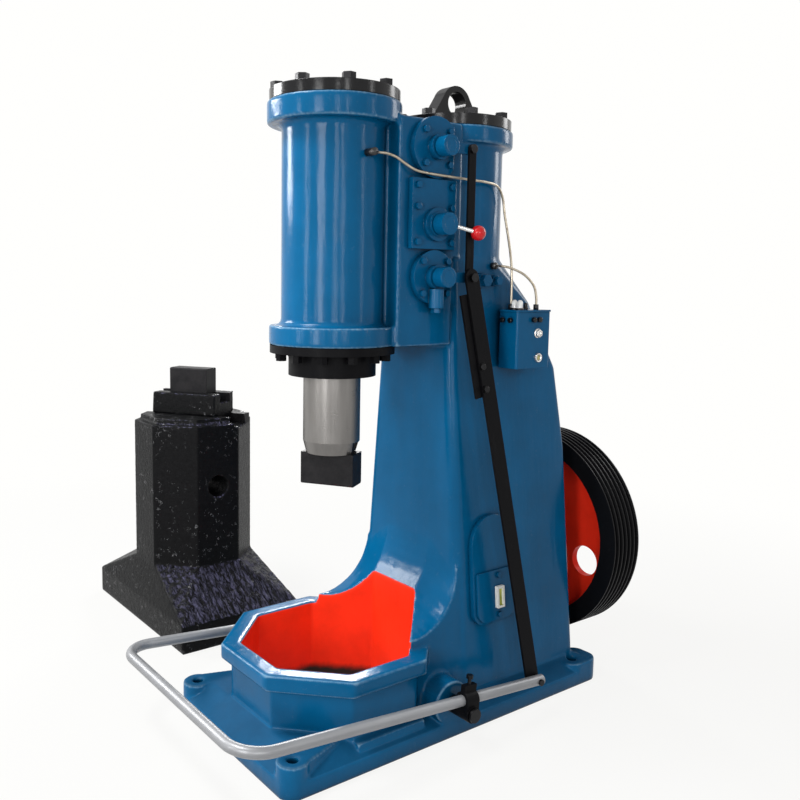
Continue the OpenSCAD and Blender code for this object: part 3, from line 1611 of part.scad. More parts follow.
frame();
cylinder_block();
ram_cover();
ram_cover_bolts();
compressor_cover();
compressor_cover_bolts();
lifting_eye();
gland();
gland_bolts();
guide_bush();
wiper_ring();
ram();
ram_piston_rings();
upper_die();
upper_die_key();
compressor_piston();
compressor_rings();
crankshaft();
front_bearing();
main_bearing();
bearing_cover();
bearing_cover_bolts();
drive_pulley();
pulley_key();
pulley_end_plate();
upper_valve_cover();
middle_valve_cover();
lower_valve_cover();
valve_cover_bolts();
upper_valve_rotor();
upper_crank_arm();
upper_link_pin();
middle_valve_rotor();
hand_lever();
lever_ball();
lower_valve_rotor();
lower_crank_arm();
lower_link_pin();
link_rod();
strap();
strap_splice();
strap_bolts();
treadle_tube();
treadle_brackets();
clamp_screws();
tail_bolt();
pivot_pins();
crankcase_cover();
sump_cover();
case_cover_bolts();
oil_gauge();
lubricator_tank();
lubricator_lid();
lubricator_fittings();
oil_pipes();
air_plugs();
anvil_block();
die_holder();
anvil_keys();
lower_die();
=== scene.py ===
"""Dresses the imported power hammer: softened castings, rough anvil, finishes, floor and light."""

import json
import math
from functools import cached_property

import bmesh
import bpy
from bpy.props import FloatProperty, FloatVectorProperty, IntProperty, PointerProperty
from mathutils import Matrix, Vector, noise


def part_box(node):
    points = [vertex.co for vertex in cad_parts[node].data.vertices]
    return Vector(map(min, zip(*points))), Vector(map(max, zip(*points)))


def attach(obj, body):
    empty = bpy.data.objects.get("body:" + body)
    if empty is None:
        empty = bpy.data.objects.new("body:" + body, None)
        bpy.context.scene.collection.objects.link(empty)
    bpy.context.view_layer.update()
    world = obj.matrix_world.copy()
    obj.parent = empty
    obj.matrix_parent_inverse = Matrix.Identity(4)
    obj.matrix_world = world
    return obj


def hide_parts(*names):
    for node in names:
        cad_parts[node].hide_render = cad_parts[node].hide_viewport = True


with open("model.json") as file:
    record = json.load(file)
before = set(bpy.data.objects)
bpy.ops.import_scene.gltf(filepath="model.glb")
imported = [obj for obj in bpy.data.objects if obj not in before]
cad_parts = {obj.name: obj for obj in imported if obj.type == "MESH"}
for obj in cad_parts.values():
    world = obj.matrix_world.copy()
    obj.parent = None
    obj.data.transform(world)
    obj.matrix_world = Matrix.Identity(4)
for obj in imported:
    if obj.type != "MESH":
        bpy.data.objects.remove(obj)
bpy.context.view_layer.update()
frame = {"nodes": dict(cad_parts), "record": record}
CAD_NODES = frame["nodes"]

bl_info = {
    "name": "Power hammer dressing",
    "version": (1, 0, 0),
    "blender": (4, 5, 0),
    "location": "View3D > Sidebar > Hammer",
    "description": "Finishes the castings, anvil, valve gear and treadle of a power hammer",
    "category": "Object",
}


# Settings that a user would change


def metres(name, description, default):
    return FloatProperty(
        name=name, description=description, default=default, unit="LENGTH", precision=4
    )


def colour(name, description, default):
    return FloatVectorProperty(
        name=name, description=description, default=default, size=3, subtype="COLOR", min=0, max=1
    )


class HammerSizes(bpy.types.PropertyGroup):
    """Sizes of the dressing"""

    casting_voxel: metres("Casting voxel", "Grain of the softened frame casting", 0.006)
    casting_smooth: IntProperty(
        name="Casting smoothing",
        description="Rounds of smoothing on the casting's edges",
        default=11,
    )
    casting_keep: FloatProperty(
        name="Casting share kept",
        description="Share of the casting's faces that is kept",
        default=0.215,
    )
    anvil_voxel: metres("Anvil voxel", "Grain of the rough anvil", 0.0075)
    anvil_rough: metres("Anvil roughness", "Height of the anvil's cast lumps", 0.005)
    camera_lens: FloatProperty(
        name="Lens", description="Focal length of the camera in mm", default=38.457
    )


class HammerColours(bpy.types.PropertyGroup):
    """Colours of the finishes"""

    blue: colour("Blue enamel", "Paint of the castings", (0.0008, 0.084, 0.200))
    ring_red: colour("Ring primer", "Paint inside the anvil opening", (0.80, 0.028, 0.006))
    web_red: colour("Pulley red", "Paint of the pulley web", (0.78, 0.026, 0.009))
    black: colour("Black enamel", "Paint of covers and bars", (0.0035, 0.0035, 0.0042))
    anvil_black: colour("Anvil black", "Paint of the anvil", (0.0042, 0.0043, 0.0046))
    silver: colour("Treadle silver", "Paint of the treadle tube", (0.24, 0.245, 0.255))
    steel: colour("Ground steel", "Bare ram steel", (0.20, 0.192, 0.184))
    floor: colour("Floor", "Floor and backdrop", (0.50, 0.497, 0.49))


class HammerSettings(bpy.types.PropertyGroup):
    """All settings of the dressing"""

    sizes: PointerProperty(type=HammerSizes, name="Sizes", description="Sizes of the dressing")
    colours: PointerProperty(
        type=HammerColours, name="Colours", description="Colours of the finishes"
    )


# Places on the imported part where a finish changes, in metres
OPENING_HALF = 0.332
PULLEY_RIM_INSIDE = 0.397
CRANK_AXIS_Z = 0.6
ROTOR_PAINT_START = 0.262
LEVER_AXIS_Y, LEVER_AXIS_Z = 0.3, 2.00051
LEVER_HUB_RADIUS = 0.043
GAUGE_RIM = 0.010
PIPE_NUT_TOP = 0.0225
PIPE_BARREL_END = 0.019
PIPE_WALL_Y, PIPE_WALL_Z = 0.650, 1.850
PIPE_WALL_NUT = (0.0145, 0.0150)

# Bands over which a finish on the casting fades, in metres
PRIMER_SPILL = (0.0075, 0.009)
PRIMER_TOP = (0.62, 0.66)
# Below this height the primer in the opening goes near-black
DARK_BOTTOM_TOP = (0.055, 0.095)
# Up-facing casting below this height is rougher with dust and painted a darker blue, a painted
# shade
DUST_AND_SHADE_TOP = (0.20, 0.24)

# Width of a sharp border between two paints, and of one on small pieces
PAINT_EDGE = 0.001
FINE_EDGE = 0.0005

# Looks that several finishes share
ENAMEL_SPECULAR = 0.12
# Reach of the painted shade in corners
PAINTED_SHADE_REACH = 0.11
X, Y, Z = 0, 1, 2
# Rays that a corner or a rounded edge is found by
EDGE_RAYS = 4


# Shader maths written as sums of sockets


class Flow:
    """A socket's value that takes part in sums."""

    def __init__(self, book, socket):
        self.book = book
        self.socket = socket

    def __add__(self, other):
        return self.book.math("ADD", self, other)

    def __sub__(self, other):
        return self.book.math("SUBTRACT", self, other)

    def __rsub__(self, other):
        return self.book.math("SUBTRACT", other, self)

    def __mul__(self, other):
        return self.book.math("MULTIPLY", self, other)

    def __abs__(self):
        return self.book.math("ABSOLUTE", self)

    def larger(self, other):
        return self.book.math("MAXIMUM", self, other)


class Finish:
    """The nodes of one material or world, and the sums between them."""

    def __init__(self, name, kind="materials"):
        self.owner = getattr(bpy.data, kind).new(name)
        self.owner.use_nodes = True
        self.tree = self.owner.node_tree
        self.tree.nodes.clear()

    def node(self, kind, settings, inputs, output=0):
        """Adds a node, sets it and links it; gives back one of its outputs."""
        made = self.tree.nodes.new(kind)
        for key, value in settings.items():
            setattr(made, key, value)
        for key, value in inputs.items():
            if isinstance(value, Flow):
                self.tree.links.new(value.socket, made.inputs[key])
            else:
                made.inputs[key].default_value = value
        return None if output is None else Flow(self, made.outputs[output])

    def math(self, operation, *values):
        return self.node("ShaderNodeMath", {"operation": operation}, dict(enumerate(values)))

    @cached_property
    def coords(self):
        return self.node("ShaderNodeTexCoord", {}, {}, "Object")

    def stretched(self, scale):
        inputs = {0: self.coords, 1: scale}
        return self.node("ShaderNodeVectorMath", {"operation": "MULTIPLY"}, inputs)

    def axis(self, which):
        return self.node("ShaderNodeSeparateXYZ", {}, {0: self.coords}, which)

    def radius(self, a, b):
        """Distance from an axis, by the two offsets from it."""
        return self.math("SQRT", a * a + b * b)

    def noise(self, scale, detail=3.0, rough=0.55, coords=None, twist=0.0):
        inputs = {
            "Vector": coords or self.coords,
            "Scale": scale,
            "Detail": detail,
            "Roughness": rough,
            "Distortion": twist,
        }
        return self.node("ShaderNodeTexNoise", {"noise_dimensions": "3D"}, inputs, "Fac")

    def step(self, value, low, high):
        """0 below the low value, 1 above the high one."""
        inputs = {0: value, 1: low, 2: high, 3: 0.0, 4: 1.0}
        return self.node("ShaderNodeMapRange", {"interpolation_type": "SMOOTHSTEP"}, inputs)

    def range(self, value, low, high):
        """Spreads the middle half of a noise between two values."""
        inputs = {0: value, 1: 0.25, 2: 0.75, 3: low, 4: high}
        return self.node("ShaderNodeMapRange", {}, inputs)

    def mix(self, share, first, second):
        first, second = ((*c, 1) if isinstance(c, tuple) else c for c in (first, second))
        inputs = {0: share, 6: first, 7: second}
        return self.node("ShaderNodeMix", {"data_type": "RGBA"}, inputs, 2)

    def clouded(self, field, first, second):
        """Goes from one colour to another with a noise."""
        return self.mix(self.range(field, 0.0, 1.0), first, second)

    def shaded(self, field, base, low, high):
        """Goes from a darker to a lighter shade of one colour with a noise."""
        return self.clouded(field, shade(base, low), shade(base, high))

    def bump(self, height, distance, strength=1.0, normal=None):
        inputs = {"Height": height, "Distance": distance, "Strength": strength}
        if normal is not None:
            inputs["Normal"] = normal
        return self.node("ShaderNodeBump", {}, inputs)

    def edge_pointiness(self):
        return self.node("ShaderNodeNewGeometry", {}, {}, "Pointiness")

    def nook(self, reach):
        """How closed in a place is: 1 deep in a corner, 0 in the open."""
        inputs = {"Distance": reach}
        return 1 - self.node("ShaderNodeAmbientOcclusion", {"samples": EDGE_RAYS}, inputs, "AO")

    def facing(self, which):
        """One axis of the skin's own direction."""
        normal = self.node("ShaderNodeNewGeometry", {}, {}, "Normal")
        return self.node("ShaderNodeSeparateXYZ", {}, {0: normal}, which)

    def round_edge(self, radius):
        return self.node("ShaderNodeBevel", {"samples": EDGE_RAYS}, {"Radius": radius})

    def seen(self):
        """1 for the rays that show the white backdrop, 0 for those that light the part."""
        rays = ("Is Camera Ray", "Is Glossy Ray", "Is Transmission Ray")
        camera, glossy, through = (self.node("ShaderNodeLightPath", {}, {}, ray) for ray in rays)
        return camera + glossy + through

    def surface(self, **sockets):
        inputs = {key.replace("_", " "): value for key, value in sockets.items()}
        return self.output(self.node("ShaderNodeBsdfPrincipled", {}, inputs))

    def output(self, shader, kind="ShaderNodeOutputMaterial"):
        self.node(kind, {}, {"Surface": shader}, None)
        return self.owner


def shade(base, factor):
    return tuple(min(1.0, c * factor) for c in base)


def toward(base, other, share):
    return tuple(b + (o - b) * share for b, o in zip(base, other))


# Finishes of the hammer


def enamel_parts(f, base, round_radius, wave=0.0014):
    """Colour, roughness and normal of brushed enamel over a casting, with painted shade in
    corners.
    """
    cloud = f.noise(3.1, 4.0, 0.6)
    fleck = f.noise(46.0, 3.0, 0.6)
    tone = f.shaded(cloud, base, 0.82, 1.16)
    tone = f.mix(f.step(fleck, 0.60, 0.78) * 0.10, tone, toward(base, (0.25, 0.3, 0.32), 0.5))
    # Painted shade: corners and hollows are darkened towards a tenth of the colour.
    tone = f.mix(f.step(f.nook(PAINTED_SHADE_REACH), 0.10, 0.85) * 0.8, tone, shade(base, 0.10))
    roughness = f.range(cloud, 0.13, 0.20) + f.range(fleck, -0.02, 0.03)
    peel = f.noise(170.0, 2.0, 0.5) * 0.10 + f.noise(30.0, 3.0, 0.55) * 0.25
    flow = f.noise(11.0, 3.0, 0.55, f.stretched((1.0, 1.0, 0.22)))
    brush = f.noise(21.0, 2.0, 0.5, f.stretched((1.0, 1.0, 0.07)))
    height = peel + f.noise(8.0, 2.0, 0.5) * 0.6 + flow + brush * 0.7
    return tone, roughness, f.bump(height, wave, 0.8, f.round_edge(round_radius))


def blue_enamel(colours):
    """Paint of the small blue pieces."""
    f = Finish("blue_enamel")
    tone, roughness, normal = enamel_parts(f, tuple(colours.blue), 0.004)
    return f.surface(
        Base_Color=tone,
        Roughness=roughness,
        Normal=normal,
        Specular_IOR_Level=ENAMEL_SPECULAR,
    )


def casting_enamel(colours):
    """Blue enamel outside, red primer on the walls of the octagonal anvil opening."""
    f = Finish("casting_enamel")
    blue, red = tuple(colours.blue), tuple(colours.ring_red)
    tone, roughness, normal = enamel_parts(f, blue, 0.003, 0.0024)
    # Pale blue along the sharper edges: partly rubbed paint, partly a painted highlight.
    edge = f.step(f.edge_pointiness() + (f.noise(60.0, 3.0, 0.6) - 0.5) * 0.03, 0.515, 0.555)
    tone = f.mix(edge * 0.42, tone, (0.30, 0.46, 0.55))
    x, y, z = abs(f.axis(X)), abs(f.axis(Y)), f.axis(Z)
    octagon = x.larger(y).larger((x + y) * math.sqrt(0.5))
    upright = 1 - f.step(f.facing(Z), 0.40, 0.55)
    within = 1 - f.step(octagon, *(OPENING_HALF + spill for spill in PRIMER_SPILL))
    inside = within * (1 - f.step(z, *PRIMER_TOP)) * upright
    stain = f.noise(7.0, 5.0, 0.65)
    # The primer goes near-black towards the bottom of the opening.
    dark_bottom = 1 - f.step(z + f.noise(14.0, 4.0, 0.6) * 0.03, *DARK_BOTTOM_TOP)
    primer = f.mix(dark_bottom, f.shaded(stain, red, 0.86, 1.1), (0.018, 0.011, 0.008))
    tone = f.mix(inside, tone, primer)
    # Up-facing faces low on the base: darker blue in patches, a painted shade of these tops; their
    # added roughness stands for dust.
    dusty = f.step(f.facing(Z), 0.35, 0.75) * (1 - f.step(z, *DUST_AND_SHADE_TOP))
    tone = f.mix(dusty * f.range(stain, 0.35, 0.75), tone, shade(blue, 0.42))
    return f.surface(
        Base_Color=tone,
        Roughness=roughness + (inside * 0.3).larger(dusty * 0.5),
        Normal=normal,
        Specular_IOR_Level=ENAMEL_SPECULAR,
    )


def black_enamel(colours):
    """Glossy black of covers and screws, dusty on top."""
    f = Finish("black_enamel")
    base = tuple(colours.black)
    cloud = f.noise(6.0, 4.0, 0.6)
    dust = f.noise(70.0, 3.0, 0.6)
    dusty = f.step(f.facing(Z), 0.5, 0.9)
    tone = f.mix(f.step(dust, 0.58, 0.75) * 0.35, base, shade(base, 3.0))
    tone = f.mix(dusty * f.range(cloud, 0.0, 0.5), tone, (0.016, 0.016, 0.017))
    height = f.noise(110.0, 2.0) * 0.25 + f.noise(14.0, 2.0)
    return f.surface(
        Base_Color=tone,
        Roughness=f.range(cloud, 0.12, 0.22) + dusty * 0.34,
        Normal=f.bump(height, 0.001, 0.7, f.round_edge(0.003)),
        Specular_IOR_Level=0.26,
    )


def bar_black(colours):
    """Flat bars of the linkage: brushed black with rubbed edges."""
    f = Finish("bar_black")
    rub = f.noise(16.0, 5.0, 0.65, f.stretched((1.0, 1.0, 0.25)))
    rubbed = f.step(rub, 0.60, 0.74) * 0.3
    return f.surface(
        Base_Color=f.mix(rubbed, tuple(colours.black), (0.022, 0.021, 0.023)),
        Roughness=f.range(rub, 0.34, 0.5),
        Normal=f.bump(f.noise(90.0, 3.0), 0.0006, 0.6, f.round_edge(0.0015)),
        Specular_IOR_Level=0.05,
    )


def pulley_paint(colours):
    """Red web inside a black grooved rim."""
    f = Finish("pulley_paint")
    radius = f.radius(f.axis(X), f.axis(Z) - CRANK_AXIS_Z)
    wavy = radius + f.noise(20.0) * 0.004
    rim = f.step(wavy, PULLEY_RIM_INSIDE + 0.001, PULLEY_RIM_INSIDE + 0.004)
    cloud = f.noise(5.0, 4.0, 0.6)
    web = f.shaded(cloud, tuple(colours.web_red), 0.8, 1.15)
    scuff = f.step(f.noise(60.0, 4.0, 0.65), 0.6, 0.75)
    tyre = f.mix(scuff * 0.4, tuple(colours.black), (0.012, 0.012, 0.014))
    height = f.noise(80.0, 3.0) * 0.3 + f.noise(12.0, 2.0)
    return f.surface(
        Base_Color=f.mix(rim, web, tyre),
        Roughness=f.range(cloud, 0.30, 0.44),
        Normal=f.bump(height, 0.001, 0.7, f.round_edge(0.002)),
        Specular_IOR_Level=0.10,
    )


def ram_steel(colours):
    """Turned and ground steel, with oil streaks down it."""
    f = Finish("ram_steel")
    turning = f.noise(260.0, 3.0, 0.6, f.stretched((0.03, 0.03, 1.0)))
    streak = f.noise(12.0, 4.0, 0.6, f.stretched((1.0, 1.0, 0.12)))
    stain = f.step(f.noise(5.0, 5.0, 0.65), 0.55, 0.72) * 0.35
    tone = f.shaded(streak, tuple(colours.steel), 0.72, 1.12)
    return f.surface(
        Base_Color=f.mix(stain, tone, (0.19, 0.165, 0.13)),
        Metallic=0.92,
        Roughness=f.range(turning, 0.26, 0.40) + f.range(streak, -0.04, 0.08),
        Normal=f.bump(turning, 0.0004, 0.5, f.round_edge(0.002)),
    )


def plain_steel(name, base, rough_low, rough_high, metal=0.9, radius=0.002, rust=0.15):
    """Plain metal of one colour, with a little rust in its grit."""
    f = Finish(name)
    cloud = f.noise(18.0, 4.0, 0.6)
    grit = f.noise(140.0, 3.0, 0.6)
    rusty = f.step(grit, 0.58, 0.74) * rust
    tone = f.shaded(cloud, base, 0.7, 1.25)
    return f.surface(
        Base_Color=f.mix(rusty, tone, toward(base, (0.1, 0.055, 0.03), 0.6)),
        Metallic=metal,
        Roughness=f.range(cloud, rough_low, rough_high),
        Normal=f.bump(grit * 0.5 + cloud, 0.0007, 0.6, f.round_edge(radius)),
    )


def die_steel():
    """Forged die block: dark scale with ground faces."""
    f = Finish("die_steel")
    scale = f.noise(22.0, 5.0, 0.65)
    grind = f.noise(200.0, 3.0, 0.6, f.stretched((1.0, 1.0, 0.08)))
    return f.surface(
        Base_Color=f.clouded(scale, (0.007, 0.007, 0.008), (0.018, 0.017, 0.018)),
        Metallic=0.3,
        Roughness=f.range(scale, 0.40, 0.60),
        Normal=f.bump(grind * 0.3 + scale, 0.0012, 0.7, f.round_edge(0.003)),
        Specular_IOR_Level=0.12,
    )


def anvil_enamel(colours):
    """Thick glossy black over a rough casting, chipped on the edges, with a painted bluish sheen
    on the chopped slope.
    """
    f = Finish("anvil_enamel")
    lump = f.noise(60.0, 6.0, 0.70, twist=0.3)
    grain = f.noise(150.0, 4.0, 0.62)
    crease = f.noise(34.0, 6.0, 0.66, f.stretched((0.55, 2.1, 0.55)), 0.9)
    chopped = f.step(f.facing(Z), 0.28, 0.48) * f.step(f.facing(X), 0.25, 0.45)
    chip = f.step(f.noise(11.0, 6.0, 0.7) + (f.edge_pointiness() - 0.5) * 3.0, 0.66, 0.74)
    tone = f.shaded(lump, tuple(colours.anvil_black), 0.8, 1.8)
    tone = f.mix(chip * 0.28, tone, (0.075, 0.075, 0.08))
    contour = 1 - abs(f.noise(62.0, 2.0, 0.5, twist=0.6) - 0.5) * 2
    crescent = f.step(contour, 0.965, 0.99) * f.step(f.noise(36.0, 2.0), 0.58, 0.63)
    glint = crescent * f.step(f.noise(5.0, 3.0, 0.6), 0.42, 0.58)
    tone = f.mix(glint * (1 - chopped) * 0.7, tone, (0.30, 0.30, 0.31))
    # Painted sheen: the chopped slope facing up and right gets a bluish grey in its creases.
    tone = f.mix(chopped * f.step(crease, 0.42, 0.72), tone, (0.090, 0.087, 0.150))
    return f.surface(
        Base_Color=tone,
        Metallic=chopped * 0.35,
        Roughness=f.range(grain, 0.22, 0.45) - chopped * 0.12,
        Normal=f.bump(lump * 0.9 + grain * 0.4 + chopped * crease * 9.0, 0.0028, 0.9),
        Specular_IOR_Level=0.05,
    )


def treadle_silver(colours):
    """Aluminium paint of the treadle tube."""
    f = Finish("treadle_silver")
    cloud = f.noise(9.0, 4.0, 0.6, f.stretched((1.0, 0.35, 1.0)))
    fleck = f.noise(120.0, 3.0, 0.6)
    tone = f.shaded(cloud, tuple(colours.silver), 0.84, 1.08)
    return f.surface(
        Base_Color=f.mix(f.step(fleck, 0.6, 0.76) * 0.2, tone, (0.2, 0.2, 0.21)),
        Metallic=0.35,
        Roughness=f.range(cloud, 0.34, 0.46),
        Normal=f.bump(fleck * 0.3 + cloud, 0.0006, 0.6),
    )


def red_knob():
    """Moulded red ball of the hand lever."""
    f = Finish("red_knob")
    swirl = f.noise(30.0, 3.0, 0.5)
    return f.surface(
        Base_Color=f.clouded(swirl, (0.46, 0.006, 0.009), (0.60, 0.012, 0.014)),
        Roughness=f.range(swirl, 0.14, 0.24),
        Normal=f.bump(f.noise(160.0, 2.0), 0.0003, 0.4),
        Specular_IOR_Level=0.25,
        Coat_Weight=0.1,
        Coat_Roughness=0.05,
    )


def rotor_paint(colours):
    """Bright rotor whose end outside the valve chest is painted with the machine."""
    f = Finish("rotor_paint")
    tone, roughness, normal = enamel_parts(f, tuple(colours.blue), 0.002)
    outside = f.step(f.axis(X), ROTOR_PAINT_START - PAINT_EDGE, ROTOR_PAINT_START)
    return f.surface(
        Base_Color=f.mix(outside, (0.45, 0.45, 0.44), tone),
        Metallic=1 - outside,
        Roughness=roughness + 0.08,
        Normal=normal,
        Specular_IOR_Level=ENAMEL_SPECULAR,
    )


def lever_paint(colours):
    """Blue hub with a bright rod."""
    f = Finish("lever_paint")
    tone, roughness, normal = enamel_parts(f, tuple(colours.blue), 0.002)
    radius = f.radius(f.axis(Y) - LEVER_AXIS_Y, f.axis(Z) - LEVER_AXIS_Z)
    rod = f.step(radius, LEVER_HUB_RADIUS, LEVER_HUB_RADIUS + PAINT_EDGE)
    return f.surface(
        Base_Color=f.mix(rod, tone, (0.62, 0.62, 0.61)),
        Metallic=rod * 0.9,
        Roughness=roughness + rod * 0.06,
        Normal=normal,
        Specular_IOR_Level=ENAMEL_SPECULAR,
    )


def gauge_paint(low, high):
    """White frame round a yellow-green oil glass."""
    f = Finish("gauge_paint")
    middle, glass = (low + high) / 2, (high - low) / 2 - Vector((GAUGE_RIM,) * 3)
    beside, above = (
        f.step(abs(f.axis(way) - middle[way]), glass[way] - PAINT_EDGE, glass[way])
        for way in (Y, Z)
    )
    rim = beside.larger(above)
    cloud = f.noise(60.0, 3.0, 0.6)
    level = f.step(f.axis(Z) + cloud * 0.012, middle.z, high.z - GAUGE_RIM)
    oil = f.mix(level, (0.28, 0.30, 0.010), (0.50, 0.50, 0.06))
    white = f.clouded(cloud, (0.62, 0.62, 0.58), (0.78, 0.78, 0.74))
    return f.surface(
        Base_Color=f.mix(rim, oil, white),
        Roughness=rim * 0.25 + f.range(cloud, 0.06, 0.14),
        Normal=f.bump(cloud, 0.0003, 0.5, f.round_edge(0.0015)),
    )


def pipe_paint(nut_top):
    """Dull brass-grey tube with black nuts and end fittings."""
    f = Finish("pipe_paint")
    y, z = f.axis(Y), f.axis(Z)
    beside, above = (
        1 - f.step(abs(offset), *PIPE_WALL_NUT) for offset in (y - PIPE_WALL_Y, z - PIPE_WALL_Z)
    )
    nuts = 1 - f.step(z, nut_top, nut_top + FINE_EDGE)
    barrel = 1 - f.step(y, PIPE_BARREL_END, PIPE_BARREL_END + FINE_EDGE)
    black = nuts.larger(barrel).larger(beside * above)
    cloud = f.noise(30.0, 4.0, 0.6)
    tube = f.clouded(cloud, (0.30, 0.25, 0.18), (0.46, 0.41, 0.33))
    return f.surface(
        Base_Color=f.mix(black, tube, (0.010, 0.009, 0.009)),
        Metallic=(1 - black) * 0.7,
        Roughness=f.range(cloud, 0.24, 0.38),
        Normal=f.bump(cloud, 0.0004, 0.5, f.round_edge(0.001)),
    )


def sight_glass(name, grain, first, second, rough_high):
    """Coated glass or plastic with a milky cloud in it."""
    f = Finish(name)
    cloud = f.noise(grain, 3.0, 0.6)
    return f.surface(
        Base_Color=f.clouded(cloud, first, second),
        Roughness=f.range(cloud, 0.08, rough_high),
        Normal=f.bump(cloud, 0.0002, 0.5),
        Coat_Weight=0.4,
    )


def assign(obj, material):
    obj.data.materials.clear()
    obj.data.materials.append(material)


# Modelling helpers that use the editor's own tools

# Points of a CAD mesh that lie this close are one point
MERGE_DISTANCE = 0.00002


def deselect():
    if bpy.context.object and bpy.context.object.mode != "OBJECT":
        bpy.ops.object.mode_set(mode="OBJECT")
    bpy.ops.object.select_all(action="DESELECT")


def select_only(*pieces):
    """Selects these pieces alone, the first of them active."""
    deselect()
    for piece in pieces:
        piece.select_set(True)
    bpy.context.view_layer.objects.active = pieces[0]


def joined(name, pieces):
    """Joins like pieces into one object."""
    select_only(*pieces)
    if len(pieces) > 1:
        bpy.ops.object.join()
    made = bpy.context.object
    made.name = name
    made.data.name = name
    return made


def copy_nodes(name, *nodes):
    """One merged copy of some CAD nodes, ready to be worked on."""
    copies = []
    for node in nodes:
        copy = CAD_NODES[node].copy()
        copy.data = CAD_NODES[node].data.copy()
        for key in list(copy.keys()):
            del copy[key]
        copy.parent = None
        copy.matrix_world = Matrix.Identity(4)
        bpy.context.scene.collection.objects.link(copy)
        copies.append(copy)
    made = joined(name, copies)
    bpy.ops.object.mode_set(mode="EDIT")
    bpy.ops.mesh.select_all(action="SELECT")
    bpy.ops.mesh.remove_doubles(threshold=MERGE_DISTANCE)
    bpy.ops.object.mode_set(mode="OBJECT")
    return made


def modify(obj, kind, **settings):
    """Adds a modifier with these settings and applies it."""
    select_only(obj)
    bpy.ops.object.modifier_add(type=kind)
    modifier = obj.modifiers[-1]
    for key, value in settings.items():
        setattr(modifier, key, value)
    bpy.ops.object.modifier_apply(modifier=modifier.name)


def turned(name, profile, place, direction, sides=32):
    """A piece grown ring by ring from a disc: (radius, height) steps along one direction."""
    deselect()
    radius, height = profile[0]
    bpy.ops.mesh.primitive_circle_add(
        vertices=sides, radius=radius, fill_type="NGON", location=(0, 0, 0)
    )
    piece = bpy.context.object
    piece.name = name
    bpy.ops.object.mode_set(mode="EDIT")
    bpy.ops.mesh.select_all(action="SELECT")
    for next_radius, next_height in profile[1:]:
        rise = (0, 0, next_height - height)
        bpy.ops.mesh.extrude_region_move(TRANSFORM_OT_translate={"value": rise})
        share = next_radius / radius
        bpy.ops.transform.resize(value=(share, share, 1), center_override=(0, 0, next_height))
        radius, height = next_radius, next_height
    bpy.ops.mesh.select_all(action="SELECT")
    bpy.ops.mesh.normals_make_consistent(inside=False)
    bpy.ops.object.mode_set(mode="OBJECT")
    piece.rotation_mode = "QUATERNION"
    piece.rotation_quaternion = Vector(direction).to_track_quat("Z", "Y")
    piece.location = place
    bpy.ops.object.transform_apply(location=True, rotation=True, scale=True)
    return piece


def dress(piece, material, body, slot, *nodes, angle=35):
    """Smooths, paints and seats one finished piece."""
    select_only(piece)
    bpy.ops.object.shade_smooth_by_angle(angle=math.radians(angle))
    assign(piece, material)
    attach(piece, body)
    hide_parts(*nodes)


def ramp(value, start, steepness=6.0):
    """0 up to the start, then a rise to 1."""
    return min(max((value - start) * steepness, 0.0), 1.0)


# Operators, one for each piece or group


class HAMMER_OT_casting(bpy.types.Operator):
    """Softens the edges of the frame and cylinder block as one casting"""

    bl_idname = "hammer.casting"
    bl_label = "Casting"

    def execute(self, context):
        sizes, colours = context.scene.hammer.sizes, context.scene.hammer.colours
        nodes = ("frame", "cylinder_block")
        casting = copy_nodes("hammer_casting", *nodes)
        modify(casting, "REMESH", mode="VOXEL", voxel_size=sizes.casting_voxel)
        modify(casting, "SMOOTH", factor=0.5, iterations=sizes.casting_smooth)
        modify(casting, "DECIMATE", decimate_type="COLLAPSE", ratio=sizes.casting_keep)
        dress(casting, casting_enamel(colours), "frame", "blue_paint", *nodes, angle=60)
        return {"FINISHED"}


# Grain of the anvil's skin, and of its chopped slope on the right
SKIN_SCALE = 55.0
SKIN_SHARE = 0.12
CHOP_SCALE = Vector((30.0, 48.0, 30.0))
# Height up to which the anvil's foot stays flat
FLAT_FOOT = 0.02


class HAMMER_OT_anvil(bpy.types.Operator):
    """Roughens the anvil block into a black casting"""

    bl_idname = "hammer.anvil"
    bl_label = "Anvil"

    def execute(self, context):
        sizes, colours = context.scene.hammer.sizes, context.scene.hammer.colours
        enamel = anvil_enamel(colours)
        for name, node in (("anvil_casting", "anvil_block"), ("holder_casting", "die_holder")):
            piece = copy_nodes(name, node)
            modify(piece, "REMESH", mode="VOXEL", voxel_size=sizes.anvil_voxel)
            modify(piece, "SMOOTH", factor=0.5, iterations=2)
            self.roughen(piece, sizes.anvil_rough)
            dress(piece, enamel, "frame", "black_iron", node, angle=50)
        return {"FINISHED"}

    def roughen(self, piece, height):
        """Moves each point of the skin along its normal by a lumpy field, the foot excepted."""
        mesh = bmesh.new()
        mesh.from_mesh(piece.data)
        for point in mesh.verts:
            if point.co.z > FLAT_FOOT:
                slope = ramp(point.normal.z, 0.35) * ramp(point.normal.x, 0.2)
                skin = noise.fractal(point.co * SKIN_SCALE, 0.9, 2.1, 3) * SKIN_SHARE
                chopped = noise.fractal(point.co * CHOP_SCALE, 0.8, 2.2, 4)
                point.co += point.normal * height * (skin + chopped * slope)
        mesh.to_mesh(piece.data)
        mesh.free()


